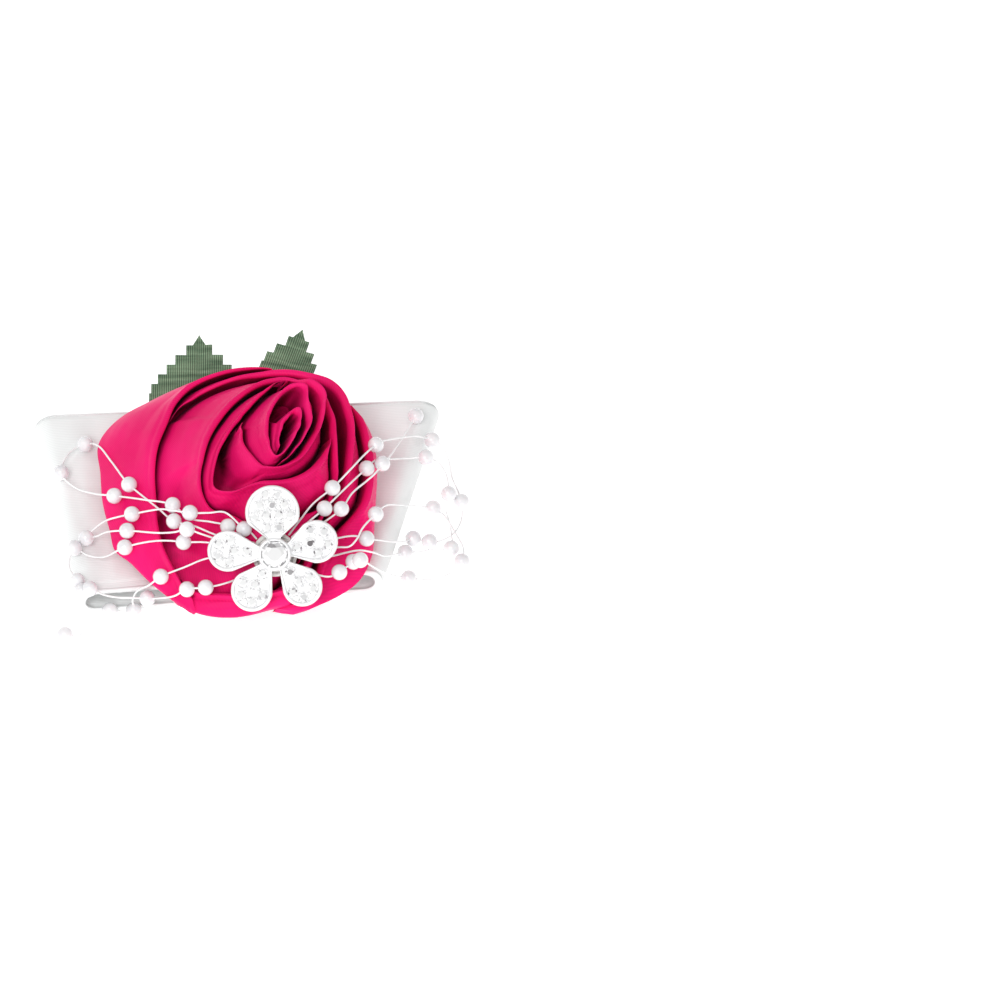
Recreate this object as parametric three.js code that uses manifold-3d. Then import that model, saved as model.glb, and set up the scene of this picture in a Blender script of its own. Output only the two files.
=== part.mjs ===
// A wrist corsage lying on a table: a satin rose with two leaves, pearl strands and a jewelled brooch, on a wide
// elastic wristband. Millimetres, +Z up, the table at z = 0. The hand goes through the band along Y, the rose is
// on top and its front is towards -Y. The origin is on the band's underside, in its middle.
import * as THREE from "three";
import { mergeVertices } from "three/addons/utils/BufferGeometryUtils.js";
import Module from "manifold-3d";

const wasm = await Module();
wasm.setup();

// Driving dimensions: gaps
const FIT_GAP = 0.3; // between two pieces that touch
const CUT_OVERRUN = 1; // how far a cutter runs past the face it cuts

// Driving dimensions: wristband
const BAND_FAR_WIDTH = 94.6; // fold to fold at the rim away from the front
const BAND_NEAR_WIDTH = 70.2; // fold to fold at the front rim, which the elastic draws in
const BAND_FAR_SHIFT = 1.2; // the front rim's middle lies this far to -X of the far rim's middle
const BAND_LENGTH = 49.4; // front rim to far rim, along the arm
const BAND_FAR_SKEW = 2.3; // the far rim's ends lie this much further back and forward than its middle
const BAND_NEAR_SKEW = 3.1; // the same of the front rim
const BAND_HEIGHT = 8.4; // outside height of the flattened loop
const BAND_WALL = 1.4;
const BAND_CORNER = 2.6; // rounding of the rims where the loop folds

// Driving dimensions: felt and leaves
const felt_diameter_share = 0.5625; // of the rose's diameter
const FELT_THICKNESS = 1.2;
const FELT_FORWARD = 3.2; // it lies this far to the front of the origin
const LEAF_THICKNESS = 0.6;
const LEFT_LEAF_LENGTH = 36;
const LEFT_LEAF_WIDTH = 23.6;
const RIGHT_LEAF_LENGTH = 26;
const RIGHT_LEAF_WIDTH = 13.6;
const PINKING_STEP = 2.6; // length of one stair of the pinked edge
const LEAF_STALK_WIDTH = 3;
const LEFT_LEAF_ACROSS = -8.6; // the tip lies this far to +X
const RIGHT_LEAF_ACROSS = 15.2;
const leaf_back_shares = { left: 1.32, right: 1.37 }; // how far back the tips lie, of the rose's radius
const RIGHT_LEAF_TURN = -18; // degrees

// Driving dimensions: rose
const ROSE_RADIUS = 32; // from the bud's axis to the side of the hem
const ROSE_HEIGHT = 23; // from the petals' underside to the rim of the bud
const ROSE_LEAN = 12.4; // how far the bud leans to +X over that height
const FOLD_RADIUS = 1.3; // rolled fold along a petal's rim
const GROOVE_DEPTH = 5; // from a petal's rim down to the petal inside it
const PETAL_GAP = 0.4;
const PETAL_LEAST_WIDTH = 0.9; // a petal ends where it would get narrower than this
const HEM_UNDERCUT = 4; // how far the outer petals curl under the hem

// Driving dimensions: pearls
const PEARL_DIAMETER = 3.7;
const FILAMENT_DIAMETER = 0.45;
const FILAMENT_STEP = 3.4; // length of one straight run of the modelled filament
const FILAMENT_FACES = 8;
const PEARL_FACES = 8;
const PEARL_ROWS = 5;

// Driving dimensions: brooch
const BROOCH_TILT = THREE.MathUtils.degToRad(35); // it leans back against the rose
const brooch_seat_shares = { across: 0.284, forward: 0.84, up: 0.504 }; // of the rose's radius, radius and height
const BROOCH_REACH = 16; // centre to the end of the longest petal
const SETTING_HEIGHT = 3;
const SETTING_RIM = 0.7; // width of the raised rim
const RECESS_DEPTH = 0.6;
const POCKET_DEPTH = 1.3;
const BOSS_DIAMETER = 7.6;
const BOSS_HEIGHT = 3.6;
const CENTRE_CRYSTAL_DIAMETER = 5.6;
const CENTRE_CRYSTAL_HEIGHT = 3.2;
const CRYSTAL_DIAMETER = 2.3;
const CRYSTAL_HEIGHT = 1.9;
const NECK_WIDTH = 3.4;
const SHANK_DIAMETER = 4;
const SHANK_LENGTH = 2.2;
const TIE_DIAMETER = 10;
const TIE_HEIGHT = 1.8;

// Heights of the stack on the table
const feltFloor = BAND_HEIGHT + FIT_GAP;
const leafFloor = feltFloor + FELT_THICKNESS + FIT_GAP;
const roseFloor = leafFloor + LEAF_THICKNESS + FIT_GAP;

const finishes = {
  ivorySatin: { color: 0xf3efe8, roughness: 0.5, metalness: 0 },
  fuchsiaSatin: { color: 0xe0115f, roughness: 0.45, metalness: 0 },
  greenCloth: { color: 0x4d6b4f, roughness: 0.85, metalness: 0 },
  felt: { color: 0xf4f2ec, roughness: 0.95, metalness: 0 },
  pearl: { color: 0xf7f3ee, roughness: 0.25, metalness: 0 },
  silver: { color: 0xd9d9dc, roughness: 0.2, metalness: 1 },
  crystal: { color: 0xf2f6fa, roughness: 0.05, metalness: 0 },
};

const corsage = new THREE.Group();

function addPiece(name, geometry, finish, holder = corsage) {
  const mesh = new THREE.Mesh(geometry, new THREE.MeshStandardMaterial(finish));
  mesh.name = name;
  holder.add(mesh);
  return mesh;
}

// A closed geometry with shared vertices as a solid that can be joined and cut
function toSolid(geometry) {
  const bare = geometry.clone();
  bare.deleteAttribute("normal");
  bare.deleteAttribute("uv");
  const merged = mergeVertices(bare);
  return new wasm.Manifold(
    new wasm.Mesh({
      numProp: 3,
      vertProperties: merged.attributes.position.array,
      triVerts: new Uint32Array(merged.index.array),
    }),
  );
}

function toGeometry(solid) {
  const mesh = solid.getMesh();
  const geometry = new THREE.BufferGeometry();
  geometry.setAttribute("position", new THREE.BufferAttribute(new Float32Array(mesh.vertProperties), 3));
  geometry.setIndex(new THREE.BufferAttribute(new Uint32Array(mesh.triVerts), 1));
  return geometry;
}

// A closed body through a row of rings of equal length, with flat ends cut as the contours say
function loft(rings, firstContour, lastContour) {
  const size = rings[0].length;
  const positions = rings.flat().flatMap((p) => [p.x, p.y, p.z]);
  const triangles = [];
  for (let i = 0; i + 1 < rings.length; i++) {
    for (let j = 0; j < size; j++) {
      const here = i * size + j;
      const beside = i * size + ((j + 1) % size);
      triangles.push(here, beside, beside + size, here, beside + size, here + size);
    }
  }
  const capTriangles = (contour) => THREE.ShapeUtils.triangulateShape(contour, []);
  const lastStart = (rings.length - 1) * size;
  const ccw = THREE.ShapeUtils.area(firstContour) > 0;
  for (const [a, b, c] of capTriangles(firstContour)) triangles.push(...(ccw ? [c, b, a] : [a, b, c]));
  for (const [a, b, c] of capTriangles(lastContour)) {
    const end = [a + lastStart, b + lastStart, c + lastStart];
    triangles.push(...(ccw ? end : end.reverse()));
  }
  return outward(positions, triangles);
}

// Faces turned so that they point out, whichever way the rings ran
function outward(positions, triangles) {
  const at = (i) => new THREE.Vector3(...positions.slice(3 * i, 3 * i + 3));
  let volume = 0;
  for (let i = 0; i < triangles.length; i += 3) {
    volume += at(triangles[i]).dot(at(triangles[i + 1]).cross(at(triangles[i + 2])));
  }
  if (volume < 0) triangles.reverse();
  const geometry = new THREE.BufferGeometry();
  geometry.setAttribute("position", new THREE.Float32BufferAttribute(positions, 3));
  geometry.setIndex(triangles);
  return geometry;
}

// Wristband: the flattened loop, as rings across it from the front rim to the far rim
const FOLD_FACES = 6;

function bandFolds(share) {
  const half = (BAND_NEAR_WIDTH + (BAND_FAR_WIDTH - BAND_NEAR_WIDTH) * share) / 2;
  const middle = -BAND_FAR_SHIFT * (1 - share);
  const y = BAND_LENGTH * (share - 0.5);
  const skew = BAND_NEAR_SKEW + (BAND_FAR_SKEW - BAND_NEAR_SKEW) * share;
  return {
    left: new THREE.Vector2(middle - half, y - skew),
    right: new THREE.Vector2(middle + half, y + skew),
  };
}

function bandRing(share, drawnIn, inset) {
  const { left, right } = bandFolds(share);
  const along = right.clone().sub(left).normalize();
  const radius = BAND_HEIGHT / 2 - inset;
  const ring = [];
  for (const [fold, turn] of [[right, 1], [left, -1]]) {
    const middle = fold.clone().addScaledVector(along, -turn * (BAND_HEIGHT / 2 + drawnIn));
    for (let i = 0; i <= FOLD_FACES; i++) {
      const angle = Math.PI * (i / FOLD_FACES - 0.5);
      const out = middle.clone().addScaledVector(along, turn * radius * Math.cos(angle));
      ring.push(new THREE.Vector3(out.x, out.y, BAND_HEIGHT / 2 + turn * radius * Math.sin(angle)));
    }
  }
  return ring;
}

// How far the folds are drawn in at the front rim, beside it, half way, beside the far rim and at it
const drawn_in_shares = [0.5, 0, 0, 0.25, 1];

function wristband() {
  const corner = BAND_CORNER / BAND_LENGTH;
  const stations = [0, corner, 1 / 2, 1 - corner, 1];
  const ringsAt = (inset) => stations.map((at, i) => bandRing(at, BAND_CORNER * drawn_in_shares[i], inset));
  const [outer, inner] = [ringsAt(0), ringsAt(BAND_WALL)];
  const rings = [...outer, ...inner.reverse()];
  const size = rings[0].length;
  const positions = rings.flat().flatMap((p) => [p.x, p.y, p.z]);
  const triangles = [];
  rings.forEach((ring, i) => {
    const next = ((i + 1) % rings.length) * size;
    ring.forEach((_, j) => {
      const beside = (j + 1) % size;
      const here = i * size;
      triangles.push(here + j, here + beside, next + beside, here + j, next + beside, next + j);
    });
  });
  return outward(positions, triangles);
}

addPiece("wristband", wristband(), finishes.ivorySatin);

// Felt backing
const FELT_FACES = 32;
const feltRadius = ROSE_RADIUS * felt_diameter_share;
const felt = new THREE.CylinderGeometry(feltRadius, feltRadius, FELT_THICKNESS, FELT_FACES);
const feltPiece = addPiece("felt_backing", felt, finishes.felt);
feltPiece.rotation.x = Math.PI / 2;
feltPiece.position.set(0, -FELT_FORWARD, feltFloor + FELT_THICKNESS / 2);

// Leaves: pinked outlines, widest in the middle, drawn from the tip at the origin down to the stalk
const leaf_taper_share = 1.25; // power of a sine by which the outline narrows to its ends

function leafShape(length, width) {
  const stairs = Math.round(length / PINKING_STEP);
  const halfAt = (i) =>
    Math.max(LEAF_STALK_WIDTH, width * Math.sin((Math.PI * (i + 1 / 2)) / stairs) ** leaf_taper_share) / 2;
  const right = [];
  for (let i = 0; i < stairs; i++) {
    if (i > 0) right.push(new THREE.Vector2(halfAt(i), (-length * i) / stairs));
    right.push(new THREE.Vector2(halfAt(i), (-length * (i + 1)) / stairs));
  }
  const left = right.map((p) => new THREE.Vector2(-p.x, p.y)).reverse();
  return new THREE.Shape([new THREE.Vector2(0, 0), ...right, ...left]);
}

function leaf(name, length, width, across, backShare) {
  const shape = leafShape(length, width);
  const geometry = new THREE.ExtrudeGeometry(shape, { depth: LEAF_THICKNESS, bevelEnabled: false });
  const piece = addPiece(name, geometry, finishes.greenCloth);
  piece.position.set(across, ROSE_RADIUS * backShare, leafFloor);
  return piece;
}

leaf("leaf_left", LEFT_LEAF_LENGTH, LEFT_LEAF_WIDTH, LEFT_LEAF_ACROSS, leaf_back_shares.left);
const rightLeaf = leaf(
  "leaf_right", RIGHT_LEAF_LENGTH, RIGHT_LEAF_WIDTH, RIGHT_LEAF_ACROSS, leaf_back_shares.right,
);
rightLeaf.rotation.z = THREE.MathUtils.degToRad(RIGHT_LEAF_TURN);

// Rose: each petal is a fold between its own rim and the rims outside it. A rim is a row of bearings round the
// bud's axis, in degrees, each with its radius and its height as shares of the rose's radius and height.
const rim_shares = {
  rose_bud_roll: [
    [-822, 0.252, 0.97], [-806, 0.2, 0.98], [-784, 0.139, 0.98], [-726, 0.119, 0.98],
    [-687, 0.17, 0.98], [-668, 0.213, 0.99], [-656, 0.271, 1], [-651, 0.335, 1], [-648, 0.38, 1],
    [-643, 0.398, 1], [-638, 0.391, 1], [-629, 0.35, 1], [-613, 0.265, 1], [-594, 0.195, 0.99],
    [-558, 0.131, 0.98], [-511, 0.137, 0.98], [-485, 0.19, 0.98], [-470, 0.217, 0.98],
    [-452, 0.13, 0.99], [-436, 0.076, 1], [-381, 0.04, 1], [-318, 0.084, 1], [-305, 0.134, 1],
    [-297, 0.162, 1], [-288, 0.169, 1], [-281, 0.15, 1], [-268, 0.1, 1], [-223, 0.045, 1],
    [-155, 0.056, 0.99], [-128, 0.09, 0.98], [-115, 0.12, 0.98],
  ],
  rose_petal_1: [
    [138, 0.335, 0.8], [150, 0.3, 0.84], [180, 0.27, 0.87], [215, 0.255, 0.89], [245, 0.285, 0.91],
    [264, 0.265, 0.91], [287, 0.215, 0.91], [330, 0.172, 0.91], [359, 0.192, 0.91], [378, 0.241, 0.91],
    [392, 0.295, 0.92], [402, 0.354, 0.93], [410, 0.416, 0.93], [416, 0.448, 0.93], [423, 0.468, 0.93],
    [435, 0.49, 0.92], [445, 0.48, 0.9], [452, 0.46, 0.89], [461, 0.425, 0.88], [473, 0.375, 0.86],
    [487, 0.34, 0.84],
  ],
  rose_petal_2: [
    [84, 0.525, 0.83], [96, 0.463, 0.85], [109, 0.404, 0.84], [123, 0.359, 0.83],
    [137, 0.337, 0.81], [146, 0.327, 0.805], [161, 0.341, 0.8], [176, 0.366, 0.79], [189, 0.408, 0.78],
    [200, 0.452, 0.775], [209, 0.502, 0.77], [217, 0.561, 0.765], [220, 0.578, 0.765],
    [224, 0.576, 0.765], [229, 0.546, 0.775], [234, 0.505, 0.785], [239, 0.442, 0.795],
    [244, 0.39, 0.805], [254, 0.348, 0.82], [281, 0.33, 0.83], [325, 0.325, 0.83], [345, 0.34, 0.83],
    [360, 0.355, 0.83], [375, 0.38, 0.82],
  ],
  rose_petal_3: [
    [70, 0.57, 0.71], [83, 0.57, 0.73], [93, 0.55, 0.73], [103, 0.522, 0.735], [111, 0.498, 0.74],
    [122, 0.47, 0.74], [137, 0.447, 0.74], [149, 0.439, 0.74], [161, 0.444, 0.74], [174, 0.462, 0.745],
    [185, 0.487, 0.75], [195, 0.52, 0.75], [203, 0.56, 0.745], [211, 0.602, 0.74], [217, 0.615, 0.7],
    [224, 0.632, 0.67], [230, 0.634, 0.64], [235, 0.612, 0.61], [243, 0.57, 0.58], [250, 0.56, 0.56],
    [259, 0.589, 0.56], [282, 0.6, 0.56], [303, 0.585, 0.6], [315, 0.56, 0.62],
  ],
  rose_petal_4: [
    [-62, 0.76, 0.45], [-51, 0.645, 0.56], [-42, 0.59, 0.62], [-35, 0.55, 0.65], [-27, 0.498, 0.68],
    [-21, 0.451, 0.72], [-7, 0.402, 0.76], [12, 0.397, 0.77], [29, 0.434, 0.77], [40, 0.46, 0.77],
    [48, 0.5, 0.76],
  ],
  rose_petal_5: [
    [-78, 1.02, 0.2], [-66, 0.88, 0.28], [-54, 0.77, 0.35], [-41, 0.675, 0.42], [-35, 0.646, 0.45],
    [-29, 0.619, 0.48], [-21, 0.606, 0.5], [-13, 0.587, 0.54], [-6, 0.58, 0.56], [4, 0.58, 0.59],
    [15, 0.6, 0.61], [26, 0.631, 0.625], [33, 0.648, 0.64], [41, 0.678, 0.65], [47, 0.7, 0.65],
    [52, 0.711, 0.65], [57, 0.712, 0.65], [63, 0.7, 0.65], [69, 0.694, 0.64], [75, 0.69, 0.635],
    [88, 0.68, 0.615], [95, 0.677, 0.6], [106, 0.686, 0.585], [118, 0.698, 0.55], [129, 0.714, 0.5],
    [143, 0.72, 0.48], [154, 0.735, 0.43],
  ],
  rose_petal_6: [
    [-122, 0.92, 0.13], [-110, 1.03, 0.17], [-99, 1.03, 0.22], [-85, 1.03, 0.24], [-72, 1.02, 0.26],
    [-57, 0.98, 0.26], [-44, 0.935, 0.28], [-34, 0.92, 0.28], [-27, 0.92, 0.27],
  ],
  rose_petal_7: [
    [84, 0.82, 0.44], [97, 0.79, 0.5], [111, 0.79, 0.52], [128, 0.8, 0.52], [141, 0.78, 0.52],
    [156, 0.74, 0.52], [171, 0.74, 0.5], [188, 0.745, 0.46], [202, 0.765, 0.41], [214, 0.825, 0.37],
    [226, 0.89, 0.3], [238, 0.965, 0.23], [250, 1.08, 0.14],
  ],
  rose_petal_8: [
    [-74, 1.16, 0.12], [-68, 1.12, 0.14], [-60, 1, 0.18], [-50, 0.86, 0.23], [-38, 0.81, 0.27],
    [-30, 0.819, 0.3], [-25, 0.828, 0.33], [-19, 0.832, 0.35], [-13, 0.82, 0.37], [-7, 0.809, 0.38],
    [0, 0.8, 0.39], [16, 0.8, 0.39], [30, 0.83, 0.39], [40, 0.87, 0.36],
  ],
};

// The rose's lowest edge, where the outer petals curl under, in the same shares
const hem_shares = [
  [0, 0.97, 0.1], [10, 0.97, 0.13], [23, 0.97, 0.17], [35, 0.895, 0.3], [50, 0.86, 0.26], [70, 0.84, 0.22],
  [90, 0.84, 0.24], [108, 0.86, 0.3], [124, 0.89, 0.3], [138, 0.955, 0.22], [148, 1.035, 0.14],
  [161, 1.075, 0.09], [174, 1, 0.07], [189, 0.99, 0.07], [204, 1.01, 0.07], [214, 1.065, 0.07],
  [221, 1.03, 0.07], [238, 1.075, 0.07], [249, 1.125, 0.07], [259, 1.17, 0.07], [280, 1.17, 0.07],
  [300, 1.21, 0.07], [314, 1.22, 0.07], [327, 1.14, 0.07], [337, 1.05, 0.07], [350, 0.98, 0.09],
  [360, 0.97, 0.1],
];

// Radius and height over the rose's floor at a bearing, on a smooth line through the rows
function onRim(rows, bearing) {
  const last = rows.length - 1;
  let i = 0;
  while (i < last - 1 && bearing > rows[i + 1][0]) i++;
  const slope = (k, column) => {
    const before = rows[Math.max(k - 1, 0)];
    const after = rows[Math.min(k + 1, last)];
    return (after[column] - before[column]) / (after[0] - before[0]);
  };
  const [from, to] = [rows[i], rows[i + 1]];
  const span = to[0] - from[0];
  const t = (bearing - from[0]) / span;
  const value = (column) =>
    from[column] * (2 * t ** 3 - 3 * t ** 2 + 1) +
    slope(i, column) * span * (t ** 3 - 2 * t ** 2 + t) +
    to[column] * (3 * t ** 2 - 2 * t ** 3) +
    slope(i + 1, column) * span * (t ** 3 - t ** 2);
  return { radius: ROSE_RADIUS * value(1), height: ROSE_HEIGHT * value(2) };
}

const FULL_TURN = THREE.MathUtils.radToDeg(2 * Math.PI);
const BEARING_TURN = FULL_TURN / 36; // from one section of a petal to the next
const rimNames = Object.keys(rim_shares);

// What a petal meets outside its rim at a bearing: its own next turn, an outer petal's rim, or the hem
function outerEdge(name, bearing, radius) {
  const round = ((bearing % FULL_TURN) + FULL_TURN) % FULL_TURN;
  const hem = onRim(hem_shares, round);
  let edge = { radius: hem.radius, height: hem.height, hem: true };
  for (const other of rimNames.slice(rimNames.indexOf(name))) {
    const rows = rim_shares[other];
    for (let turn = -3; turn <= 3; turn++) {
      const there = bearing + turn * FULL_TURN;
      const own = other === name;
      if (there < rows[0][0] || there > rows[rows.length - 1][0] || (own && turn === 0)) continue;
      const rim = onRim(rows, there);
      if ((own && rim.radius < radius) || rim.radius > edge.radius) continue;
      edge = { radius: rim.radius - PETAL_GAP, height: rim.height - GROOVE_DEPTH, hem: false };
    }
  }
  return edge;
}

// The outer side of a petal falls slowly from the rolled fold, then steeply: across and down, as shares
const fall_shares = [[0.42, 0.28], [0.74, 0.58]];
const FOLD_WIDTH_SHARE = 0.34; // the widest that a fold may be, of its petal's width
const shoulder_shares = [0.33, 0.25]; // the fold's inner shoulder: across and down, of the fold

function petalSection(name, bearing) {
  const rim = onRim(rim_shares[name], bearing);
  const edge = outerEdge(name, bearing, rim.radius);
  const width = edge.radius - rim.radius;
  const fold = Math.min(FOLD_RADIUS, width * FOLD_WIDTH_SHARE);
  const low = Math.max(Math.min(edge.height, rim.height - fold), fold / 2);
  const drop = rim.height - low;
  const contour = [
    new THREE.Vector2(rim.radius, 0),
    new THREE.Vector2(rim.radius, rim.height - fold),
    new THREE.Vector2(rim.radius + fold * shoulder_shares[0], rim.height - fold * shoulder_shares[1]),
    new THREE.Vector2(rim.radius + fold, rim.height),
  ];
  for (const [across, down] of fall_shares) {
    contour.push(new THREE.Vector2(rim.radius + width * across, rim.height - drop * down));
  }
  contour.push(new THREE.Vector2(edge.radius, low));
  contour.push(new THREE.Vector2(edge.radius - (edge.hem ? Math.min(HEM_UNDERCUT, width / 2) : 0), 0));
  return { bearing, width, contour };
}

function onRose(bearing, point) {
  const angle = THREE.MathUtils.degToRad(bearing);
  const lean = (ROSE_LEAN * point.y) / ROSE_HEIGHT;
  return new THREE.Vector3(point.x * Math.cos(angle) + lean, point.x * Math.sin(angle), roseFloor + point.y);
}

function petal(name) {
  const rows = rim_shares[name];
  const [first, last] = [rows[0][0], rows[rows.length - 1][0]];
  const sections = [];
  for (let step = Math.ceil(first / BEARING_TURN); step * BEARING_TURN <= last; step++) {
    sections.push(petalSection(name, step * BEARING_TURN));
  }
  const wide = sections.filter(({ width }) => width > PETAL_LEAST_WIDTH);
  const rings = wide.map(({ bearing, contour }) => contour.map((point) => onRose(bearing, point)));
  return loft(rings, wide[0].contour, wide[wide.length - 1].contour);
}

for (const name of rimNames) addPiece(name, petal(name), finishes.fuchsiaSatin);

// Brooch: local x across, y up the slope, z off the slope, origin on the back of the setting
const brooch = new THREE.Group();
brooch.rotation.x = BROOCH_TILT;
brooch.position.set(ROSE_RADIUS * brooch_seat_shares.across, -ROSE_RADIUS * brooch_seat_shares.forward, roseFloor);
brooch.position.z += ROSE_HEIGHT * brooch_seat_shares.up;
corsage.add(brooch);

// Each petal of the setting: its bearing in degrees, then how far out its round end's centre lies and that end's
// radius, both as shares of the brooch's reach
const setting_petal_shares = [
  [93, 0.6, 0.39], [176, 0.669, 0.294], [238, 0.612, 0.3], [311, 0.606, 0.288], [377, 0.625, 0.309],
];
const settingPetals = setting_petal_shares.map(([bearing, out, round], i) => ({
  bearing,
  reach: BROOCH_REACH * out,
  radius: BROOCH_REACH * round,
  top: i === 0,
}));

// The stones of a petal: along it from the round end's centre and across it, as shares of the end's radius
const top_stone_shares = [
  [0.64, 0.22], [0.64, -0.22], [0.26, 0], [0.26, 0.46], [0.26, -0.46], [-0.12, 0.23], [-0.12, -0.23],
  [-0.14, 0.66], [-0.14, -0.66], [-0.56, 0.22], [-0.56, -0.22],
];
const side_stone_shares = [[0.47, 0.3], [0.47, -0.3], [-0.09, 0.56], [-0.09, -0.56], [-0.3, 0], [-0.93, 0]];

const POCKET_FACES = 10;
const CRYSTAL_FACES = 8;
const BORE_FACES = 16;
const BOSS_FACES = 24;
const TEARDROP_HALF_TURN = THREE.MathUtils.degToRad(112);

function teardrop({ reach, radius }, inset) {
  const shape = new THREE.Shape();
  const round = radius - inset;
  const neck = NECK_WIDTH / 2 - inset / 2;
  shape.moveTo(0, -neck);
  shape.lineTo(BOSS_DIAMETER / 2, -neck);
  shape.absarc(reach, 0, round, -TEARDROP_HALF_TURN, TEARDROP_HALF_TURN, false);
  shape.lineTo(BOSS_DIAMETER / 2, neck);
  shape.lineTo(0, neck);
  return shape;
}

function placed(geometry, bearing, height) {
  geometry.rotateZ(THREE.MathUtils.degToRad(bearing));
  geometry.translate(0, 0, height);
  return toSolid(geometry);
}

const extruded = (shape, depth) =>
  new THREE.ExtrudeGeometry(shape, { depth, bevelEnabled: false, curveSegments: POCKET_FACES });

// A cylinder standing on z = 0
function post(diameter, height, faces) {
  const geometry = new THREE.CylinderGeometry(diameter / 2, diameter / 2, height, faces);
  geometry.rotateX(Math.PI / 2);
  geometry.translate(0, 0, height / 2);
  return geometry;
}

const recessFloor = SETTING_HEIGHT - RECESS_DEPTH;
const pocketFloor = recessFloor - POCKET_DEPTH;
const stones = [];
for (const { bearing, reach, radius, top } of settingPetals) {
  for (const [along, across] of top ? top_stone_shares : side_stone_shares) {
    const spot = new THREE.Vector2(reach + radius * along, radius * across);
    spot.rotateAround(new THREE.Vector2(0, 0), THREE.MathUtils.degToRad(bearing));
    stones.push(spot);
  }
}

function setting() {
  let body = toSolid(post(BOSS_DIAMETER, BOSS_HEIGHT, BOSS_FACES));
  for (const shape of settingPetals) {
    body = body.add(placed(extruded(teardrop(shape, 0), SETTING_HEIGHT), shape.bearing, 0));
  }
  const kept = toSolid(post(BOSS_DIAMETER, BOSS_HEIGHT + 2 * CUT_OVERRUN, BOSS_FACES));
  for (const shape of settingPetals) {
    const recess = extruded(teardrop(shape, SETTING_RIM), RECESS_DEPTH + CUT_OVERRUN);
    body = body.subtract(placed(recess, shape.bearing, recessFloor).subtract(kept));
  }
  const centrePocket = post(CENTRE_CRYSTAL_DIAMETER + 2 * FIT_GAP, BOSS_HEIGHT, BORE_FACES);
  body = body.subtract(placed(centrePocket, 0, pocketFloor));
  for (const spot of stones) {
    const pocket = post(CRYSTAL_DIAMETER + FIT_GAP, POCKET_DEPTH + CUT_OVERRUN, POCKET_FACES);
    pocket.translate(spot.x, spot.y, pocketFloor);
    body = body.subtract(toSolid(pocket));
  }
  return toGeometry(body);
}

addPiece("brooch_setting", setting(), finishes.silver, brooch);

// A round brilliant on its point, with its table on top: radii and heights as shares of its own
const brilliant_shares = [[0, 0], [1, 0.52], [1, 0.62], [0.58, 1], [0, 1]];

function brilliant(diameter, height) {
  const profile = brilliant_shares.map(([out, up]) => new THREE.Vector2((diameter / 2) * out, height * up));
  const geometry = new THREE.LatheGeometry(profile, CRYSTAL_FACES);
  geometry.rotateX(Math.PI / 2);
  return toGeometry(toSolid(geometry));
}

const centreStone = brilliant(CENTRE_CRYSTAL_DIAMETER, CENTRE_CRYSTAL_HEIGHT);
addPiece("centre_crystal", centreStone, finishes.crystal, brooch).position.z = pocketFloor + FIT_GAP;

stones.forEach((spot, i) => {
  const name = "crystal_" + String(i + 1).padStart(2, "0");
  const piece = addPiece(name, brilliant(CRYSTAL_DIAMETER, CRYSTAL_HEIGHT), finishes.crystal, brooch);
  piece.position.set(spot.x, spot.y, pocketFloor + FIT_GAP);
});

const shank = post(SHANK_DIAMETER, SHANK_LENGTH, BORE_FACES);
addPiece("brooch_shank", shank, finishes.silver, brooch).position.z = -FIT_GAP - SHANK_LENGTH;

// Tie: the ring of thread and glue that holds the strands' ends behind the brooch
const tieBore = post(SHANK_DIAMETER + 2 * FIT_GAP, TIE_HEIGHT + 2 * CUT_OVERRUN, BORE_FACES);
tieBore.translate(0, 0, -CUT_OVERRUN);
const tie = toSolid(post(TIE_DIAMETER, TIE_HEIGHT, BORE_FACES)).subtract(toSolid(tieBore));
addPiece("pearl_bundle_tie", toGeometry(tie), finishes.felt, brooch).position.z = -FIT_GAP - TIE_HEIGHT;

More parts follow.
